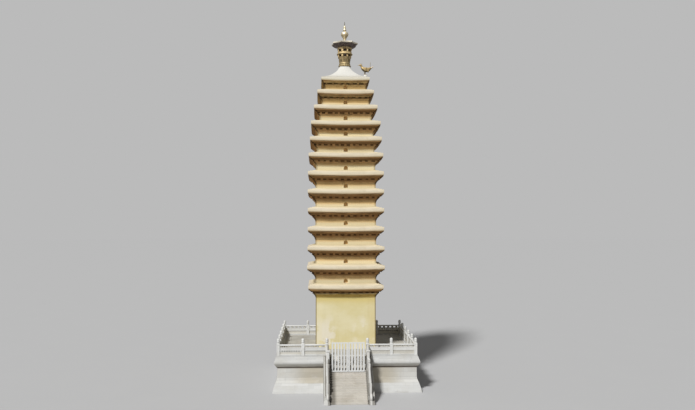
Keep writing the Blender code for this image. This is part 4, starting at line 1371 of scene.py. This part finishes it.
PANEL_TOP = 31.72
PANEL_LEAN = 0.20
NECK_PANEL = (0.035, 0.04, 0.015)
CORE_PROFILE = ((0.40, 31.60), (0.40, 32.81))
CORE_SIDES = 32
COLUMN_PROFILE = ((0.045, 0.0), (0.030, 0.03), (0.036, 0.12), (0.028, 0.21), (0.045, 0.25))
COLUMN_FEET = ((0.68, 31.86), (0.695, 32.37))


def eighth_turns(count):
    return rotation(2 * math.pi * count / 8)


def add_finial_base(bronze):
    piece = Piece()
    piece.add(turned(smooth_profile(BASE_PROFILE), 64, 16, 0.035), tint=DRUM_FOOT_TINT)
    nodes = ["finial_base"]
    piece.build("finial_lotus_ring", [bronze], nodes, origin=(0, 0, 31), round_under=40)


def pierced_shell():
    """The drum's wall between an outer and an inner outline, with two rows of eight openings."""
    rows = len(DRUM_OUTLINE) - 1
    rings = []
    for wall in (0.0, DRUM_WALL):
        rings += [circle(radius - wall, z, DRUM_SIDES) for radius, z in DRUM_OUTLINE]
    points = [point for ring in rings for point in ring]
    inside = len(points) // 2

    def is_open(row, i):
        if not 0 <= row < rows:
            return True
        middle = (DRUM_OUTLINE[row][1] + DRUM_OUTLINE[row + 1][1]) / 2
        in_row = any(low < middle < high for low, high in DRUM_OPENING_ROWS)
        turn_from_opening = ((i + 0.5) * 360 / DRUM_SIDES + 22.5) % 45 - 22.5
        return in_row and abs(turn_from_opening) < DRUM_OPENING_TURN

    faces = []
    for row, i in itertools.product(range(rows), range(DRUM_SIDES)):
        if is_open(row, i):
            continue
        j = (i + 1) % DRUM_SIDES
        a, b = row * DRUM_SIDES + i, row * DRUM_SIDES + j
        c, d = a + DRUM_SIDES, b + DRUM_SIDES
        faces += [(a, b, d, c), (a + inside, c + inside, d + inside, b + inside)]
        if is_open(row - 1, i):
            faces.append((a, a + inside, b + inside, b))
        if is_open(row + 1, i):
            faces.append((c, d, d + inside, c + inside))
        if is_open(row, (i - 1) % DRUM_SIDES):
            faces.append((a, c, c + inside, a + inside))
        if is_open(row, j):
            faces.append((b, b + inside, d + inside, d))
    return points, faces


def add_drum(bronze, dark_metal):
    """A pierced metal drum: two rows of openings between bands, over a tapered neck with sunk panels."""
    piece = Piece()
    points, faces = pierced_shell()
    tints = [DRUM_FOOT_TINT if points[face[0]][2] < DRUM_FOOT_TOP else 0.4 for face in faces]
    piece.add((points, faces), 0, tints)
    # The core behind the openings: bronze in the diagonal sectors and dark metal in the others, partly painted
    # shade inside the drum.
    core_finishes = []
    for i in range(CORE_SIDES):
        sector = ((i + 0.5) * 360 / CORE_SIDES) % 90
        core_finishes.append(0 if 22.5 < sector < 67.5 else 1)
    piece.add(turned(CORE_PROFILE, CORE_SIDES), core_finishes + [1, 1])
    column = turned(smooth_profile(COLUMN_PROFILE), 12)
    panel = stone((0.49, -0.15, PANEL_FOOT), (0.525, 0.15, PANEL_TOP), 0.012, {(0, 1): NECK_PANEL})
    lean = shift(0, 0, PANEL_FOOT) @ rotation(PANEL_LEAN, "Y") @ shift(0, 0, -PANEL_FOOT)
    for i in range(8):
        for radius, foot in COLUMN_FEET:
            piece.add(column, 0, 1.2, eighth_turns(i + 0.5) @ shift(radius, 0, foot))
        piece.add(panel, 0, -2.5, eighth_turns(i) @ lean)
    finishes, nodes = [bronze, dark_metal], ["finial_drum"]
    piece.build("finial_pierced_drum", finishes, nodes, origin=(0, 0, 32), round_under=35)


CANOPY_OUTLINE = (
    (0.78, 32.822), (0.94, 32.87), (1.10, 32.95), (1.23, 33.05), (1.32, 33.13), (1.35, 33.18),
    (1.35, 33.25), (1.30, 33.29), (1.20, 33.33), (0.80, 33.36), (0.40, 33.378),
)
CANOPY_TURN = math.radians(-15)
CANOPY_RIM = 33.12


def add_canopy(dark_metal, bright_metal):
    """The eight-sided canopy: hollows below between ribs in a dark metal, partly patina and partly painted
    shade, and a rim in a bright metal as a painted highlight.
    """
    piece = Piece()
    corners = [2 * math.pi * side / 8 + CANOPY_TURN for side in range(9)]
    rings = []
    for radius, z in smooth_profile(CANOPY_OUTLINE):
        ring = []
        for (a, b), step in itertools.product(zip(corners, corners[1:]), range(4)):
            share = step / 4
            x = radius * ((1 - share) * math.cos(a) + share * math.cos(b))
            y = radius * ((1 - share) * math.sin(a) + share * math.sin(b))
            dent = 1 - 0.05 * math.sin(math.pi * share)
            ring.append((x * dent, y * dent, z))
        rings.append(ring)
    points, faces = loft(rings)
    heights = [sum(points[i][2] for i in face) / len(face) for face in faces]
    # Dark metal below the rim, partly painted shade; bright metal above it as a painted highlight.
    piece.add((points, faces), [int(height > CANOPY_RIM) for height in heights])
    high = list(CANOPY_OUTLINE[:6])
    low = [(radius - 0.06, z + 0.02) for radius, z in high]
    rib = prism(high + low[::-1], -0.018, 0.018, "Y")
    for angle in corners[:-1]:
        piece.add(rib, tint=1.0, place=rotation(angle))
    name, finishes, nodes = "finial_eight_side_canopy", [dark_metal, bright_metal], ["finial_canopy"]
    piece.build(name, finishes, nodes, origin=(0, 0, 33), round_under=30)


SPIRE_OUTLINE = (
    (0.20, 33.382), (0.17, 33.44), (0.13, 33.54), (0.13, 33.66), (0.16, 33.76), (0.21, 33.87),
    (0.27, 33.96), (0.335, 34.06), (0.37, 34.17), (0.365, 34.27), (0.33, 34.36), (0.26, 34.43),
    (0.18, 34.48), (0.11, 34.52), (0.12, 34.55), (0.165, 34.60), (0.17, 34.65), (0.16, 34.70),
    (0.11, 34.76), (0.10, 34.82), (0.11, 34.92), (0.08, 35.04), (0.03, 35.12),
)
SPIRE_ROD = ((0.040, 35.09), (0.034, 35.30), (0.020, 35.47))


def add_spire(gilt):
    piece = Piece()
    piece.add(turned(smooth_profile(SPIRE_OUTLINE), 48))
    piece.add(turned(SPIRE_ROD, 16), tint=-4.5)
    nodes = ["finial_spire"]
    piece.build("finial_ball_spire", [gilt], nodes, origin=(0, 0, 34), round_under=40)


# Bird, in a frame of its own: it faces along -X, and its foot plate is under the origin

# Its body from head to tail, as (x, z, tilt, half-width, half-height)
BIRD_RINGS = (
    (-0.770, 1.050, -0.1, 0.008, 0.008), (-0.660, 1.055, 0.0, 0.022, 0.024),
    (-0.580, 1.060, 0.0, 0.045, 0.050), (-0.500, 1.070, 0.2, 0.080, 0.090),
    (-0.410, 1.020, 0.8, 0.090, 0.100), (-0.360, 0.880, 0.9, 0.098, 0.108),
    (-0.270, 0.740, 0.6, 0.150, 0.160), (-0.060, 0.630, 0.1, 0.210, 0.230),
    (0.180, 0.620, -0.2, 0.200, 0.220), (0.360, 0.670, -0.4, 0.140, 0.170),
    (0.480, 0.750, -0.4, 0.090, 0.120), (0.600, 0.820, -0.3, 0.050, 0.080),
)
LEG_PROFILE = ((0.040, 0.11), (0.040, 0.18), (0.055, 0.30), (0.080, 0.42), (0.105, 0.52))
LEG_X, LEG_Y = -0.04, 0.09
WING_CURVE = ((-0.22, 0.02), (0.0, 0.06), (0.22, 0.02), (0.40, 0.10))
CLAW_CURVE = ((0.0, 0.012), (-0.06, 0.028), (-0.12, 0.006))
TAIL_ROOT = (0.40, 0.68)
PALE_TAIL_FROM = 0.52
ROD_PROFILE = ((0.018, 0.74), (0.018, 1.30), (0.006, 1.355))
ROD_X = 0.48
PLATE_HALF = 0.13


def blade(points, thickness, width):
    """A flat curved feather through (x, z) points, as wide as width across Y."""
    rings = []
    curve = smooth_profile(points, 3)
    for i, (x, z) in enumerate(curve):
        share = i / (len(curve) - 1)
        half = width * math.sin(math.pi * min(0.98, 0.12 + 0.84 * share)) / 2
        before, after = curve[max(i - 1, 0)], curve[min(i + 1, len(curve) - 1)]
        along = Vector((after[0] - before[0], after[1] - before[1])).normalized()
        across = Vector((-along.y, along.x)) * thickness / 2
        rings.append([
            (x, -half, z), (x + across.x, 0, z + across.y), (x, half, z), (x - across.x, 0, z - across.y),
        ])
    return loft(rings)


def add_bird(gilt, pale_gilt):
    """A long-tailed bird that faces the finial; the tail's end is paler."""
    piece = Piece()
    place = shift(*BIRD_PLACE)
    rings = []
    for x, z, tilt, wide, tall in smooth_profile(BIRD_RINGS, 3):
        turn = rotation(tilt, "Y").to_3x3()
        ring = []
        for i in range(20):
            angle = 2 * math.pi * i / 20
            spoke = turn @ Vector((0, wide * math.cos(angle), tall * math.sin(angle)))
            ring.append(Vector((x, 0, z)) + spoke)
        rings.append(ring)
    piece.add(loft(rings), place=place)
    leg = turned(smooth_profile(LEG_PROFILE), 14)
    claw = blade(CLAW_CURVE, 0.022, 0.030)
    wing = blade(WING_CURVE, 0.03, 0.13)
    upright = rotation(math.pi / 2, "X") @ Matrix.Diagonal((0.9, 1, 1, 1))
    for side in (-1, 1):
        for feather in range(4):
            lean = rotation(side * 0.10, "X") @ rotation(0.12 * feather, "Y")
            spot = shift(0.02, side * (0.20 - 0.012 * feather), 0.70 - 0.055 * feather)
            piece.add(wing, 0, 0.3 + 0.2 * feather, place @ spot @ lean @ upright)
        piece.add(leg, 0, -3.0, place @ shift(LEG_X, side * LEG_Y, 0))
        for toe in range(3):
            spread = shift(LEG_X, side * LEG_Y, 0.133) @ rotation(0.5 * (toe - 1))
            piece.add(claw, 0, 0.4, place @ spread)
    for i in range(9):
        spread = i / 4 - 1
        droop = abs(spread)
        tip = (0.80 - 0.06 * droop, 0.98 - 0.16 * droop)
        curve = (TAIL_ROOT, (0.52, 0.80), (0.66, 0.93 - 0.06 * droop), tip)
        points, faces = blade(curve, 0.03, 0.10)
        middles = [sum(points[i][0] for i in face) / len(face) for face in faces]
        root = shift(TAIL_ROOT[0], 0, TAIL_ROOT[1])
        fan = place @ root @ rotation(0.5 * spread, "X") @ root.inverted()
        piece.add((points, faces), [int(middle > PALE_TAIL_FROM) for middle in middles], 0.5, fan)
    for i in range(3):
        curve = ((-0.53, 1.13), (-0.50 + 0.05 * i, 1.18), (-0.44 + 0.07 * i, 1.22 - 0.03 * i))
        piece.add(blade(curve, 0.02, 0.03), 0, 0.6, place)
    piece.add(turned(ROD_PROFILE, 10), 0, -2.0, place @ shift(ROD_X, 0, 0))
    x, y, _ = BIRD_PLACE
    foot = PEDESTAL_TOP + 0.001
    low, high = (x - PLATE_HALF, y - PLATE_HALF, foot), (x + PLATE_HALF, y + PLATE_HALF, foot + 0.03)
    piece.add(stone(low, high, 0.006), tint=0.3)
    finishes, nodes = [gilt, pale_gilt], ["corner_bird"]
    piece.build("roof_bird", finishes, nodes, origin=BIRD_PLACE, round_under=45)


# Studio


def add_studio():
    scene = bpy.context.scene
    scene.view_settings.view_transform = "Standard"
    world = bpy.data.worlds.new("studio")
    scene.world = world
    world.use_nodes = True
    tree = world.node_tree
    backdrop = tree.nodes["Background"]
    backdrop.inputs["Color"].default_value = srgb(BACKGROUND_GREY)
    seen = tree.nodes.new("ShaderNodeLightPath").outputs["Is Camera Ray"]
    strength = tree.nodes.new("ShaderNodeMapRange")
    tree.links.new(seen, strength.inputs["Value"])
    strength.inputs["To Min"].default_value = SKY_SHARE
    tree.links.new(strength.outputs["Result"], backdrop.inputs["Strength"])

    mesh = bpy.data.meshes.new("studio_floor")
    corners = ((-1, -1), (1, -1), (1, 1), (-1, 1))
    points = [(x * FLOOR_REACH, y * FLOOR_REACH, -FLOOR_DROP) for x, y in corners]
    mesh.from_pydata(points, [], [(0, 1, 2, 3)])
    mesh.materials.append(plain_floor())
    floor = bpy.data.objects.new("studio_floor", mesh)
    scene.collection.objects.link(floor)

    light = bpy.data.lights.new("key", "SUN")
    light.energy = KEY_STRENGTH
    light.angle = math.radians(KEY_SOFTNESS)
    lamp = bpy.data.objects.new("key", light)
    lamp.rotation_euler = (math.radians(90 - KEY_HEIGHT), 0, math.radians(-KEY_FROM_LEFT))
    scene.collection.objects.link(lamp)

    lens = bpy.data.cameras.new("camera")
    lens.lens = CAMERA_LENS
    lens.sensor_width = SENSOR_WIDTH
    lens.clip_end = SIGHT
    camera = bpy.data.objects.new("camera", lens)
    camera.location = CAMERA_PLACE
    camera.rotation_euler = (math.radians(90 + CAMERA_UP), 0, math.radians(-CAMERA_TO_RIGHT))
    scene.collection.objects.link(camera)
    scene.camera = camera


def main():
    plinth = white_stone("plinth_marble", (200, 200, 197), (184, 180, 170), 0.4, marks=plinth_top)
    curb = white_stone("curb_marble", (182, 181, 176), (168, 163, 152), 0.45, marks=rail_foot_shade)
    stair_rail = white_stone(
        "stair_rail_marble", (204, 203, 199), (180, 175, 165), 0.45, marks=rail_side_shade,
    )
    waist = white_stone("waist_marble", WAIST_TONE, (180, 174, 162), 0.45, marks=waist_marks)
    cornice = white_stone("cornice_marble", (194, 194, 191), (182, 178, 168), 0.4, marks=cornice_underside_shade)
    rail = white_stone("rail_marble", (208, 208, 205), (182, 178, 168), 0.4)
    stained = white_stone("stained_marble", (196, 193, 184), (176, 170, 154), 0.5)
    step = white_stone("step_stone", (192, 187, 178), (168, 160, 146), 0.5, 0.2, step_end_shade_and_light)
    paving = white_stone("paving_stone", (178, 175, 166), (152, 144, 130), 0.5, 0.2)
    yellow_brick = corbel_brick(
        "yellow_corbel_brick", YELLOW_BANDS, tooth_row_shade=0.5, foot=(214, 189, 118), foot_marks=None,
    )
    lower_brick = corbel_brick("lower_corbel_brick", LOWER_BANDS, 1.12)
    upper_brick = corbel_brick("upper_corbel_brick", UPPER_BANDS, 0.85)
    top_brick = corbel_brick("top_corbel_brick", TOP_BANDS, tooth_row_shade=0.85)
    wash = cream_wash("cream_wash", (218, 207, 184), (194, 175, 142), (204, 191, 158), (104, 80, 52))
    top_wash = cream_wash(
        "top_eave_wash", (216, 210, 194), (196, 186, 158), (212, 206, 190), (184, 170, 138),
    )
    niche = niche_wash()
    bronze = worn_metal("weathered_bronze", (226, 203, 156), (128, 104, 68), 0.6, under=0.6)
    dark_metal = worn_metal("patina_and_shade_bronze", (124, 112, 106), (62, 53, 51), 0.55, under=0.3)
    bright = worn_metal("rim_highlight_bronze", (236, 228, 210), (196, 182, 152), 0.45)
    gilt = worn_metal("worn_gilt", (250, 236, 202), (182, 156, 110), 0.48, under=0.7)
    bird_gilt = worn_metal("bird_gilt", (190, 168, 122), (98, 78, 46), 0.6, under=0.9)
    tail_gilt = worn_metal("tail_gilt", (240, 228, 212), (206, 184, 154), 0.6, 0.4, 0.2)
    iron = worn_metal("galvanised_iron", (150, 150, 150), (96, 84, 74), 0.5)

    add_platform(plinth, waist, cornice, paving)
    add_balustrades([rail, stained])
    add_steps(step)
    for side, name in ((-1, "left"), (1, "right")):
        add_curb(side, name, curb)
        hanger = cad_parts[f"gate_hanger_{name}"]
        hanger.data.materials.clear()
        hanger.data.materials.append(iron)
    add_stair_balustrades(stair_rail)
    add_gate(rail, painted_steel())
    add_wall(yellow_plaster())
    bricks = [yellow_brick] + 6 * [lower_brick] + 4 * [upper_brick] + 2 * [top_brick]
    for storey, brick in enumerate(bricks):
        add_storey(storey, brick, top_wash if storey == LAST_STOREY else wash, niche)
    add_roof(lime_wash())
    add_finial_base(bronze)
    add_drum(bronze, dark_metal)
    add_canopy(dark_metal, bright)
    add_spire(gilt)
    add_bird(bird_gilt, tail_gilt)
    add_studio()


main()
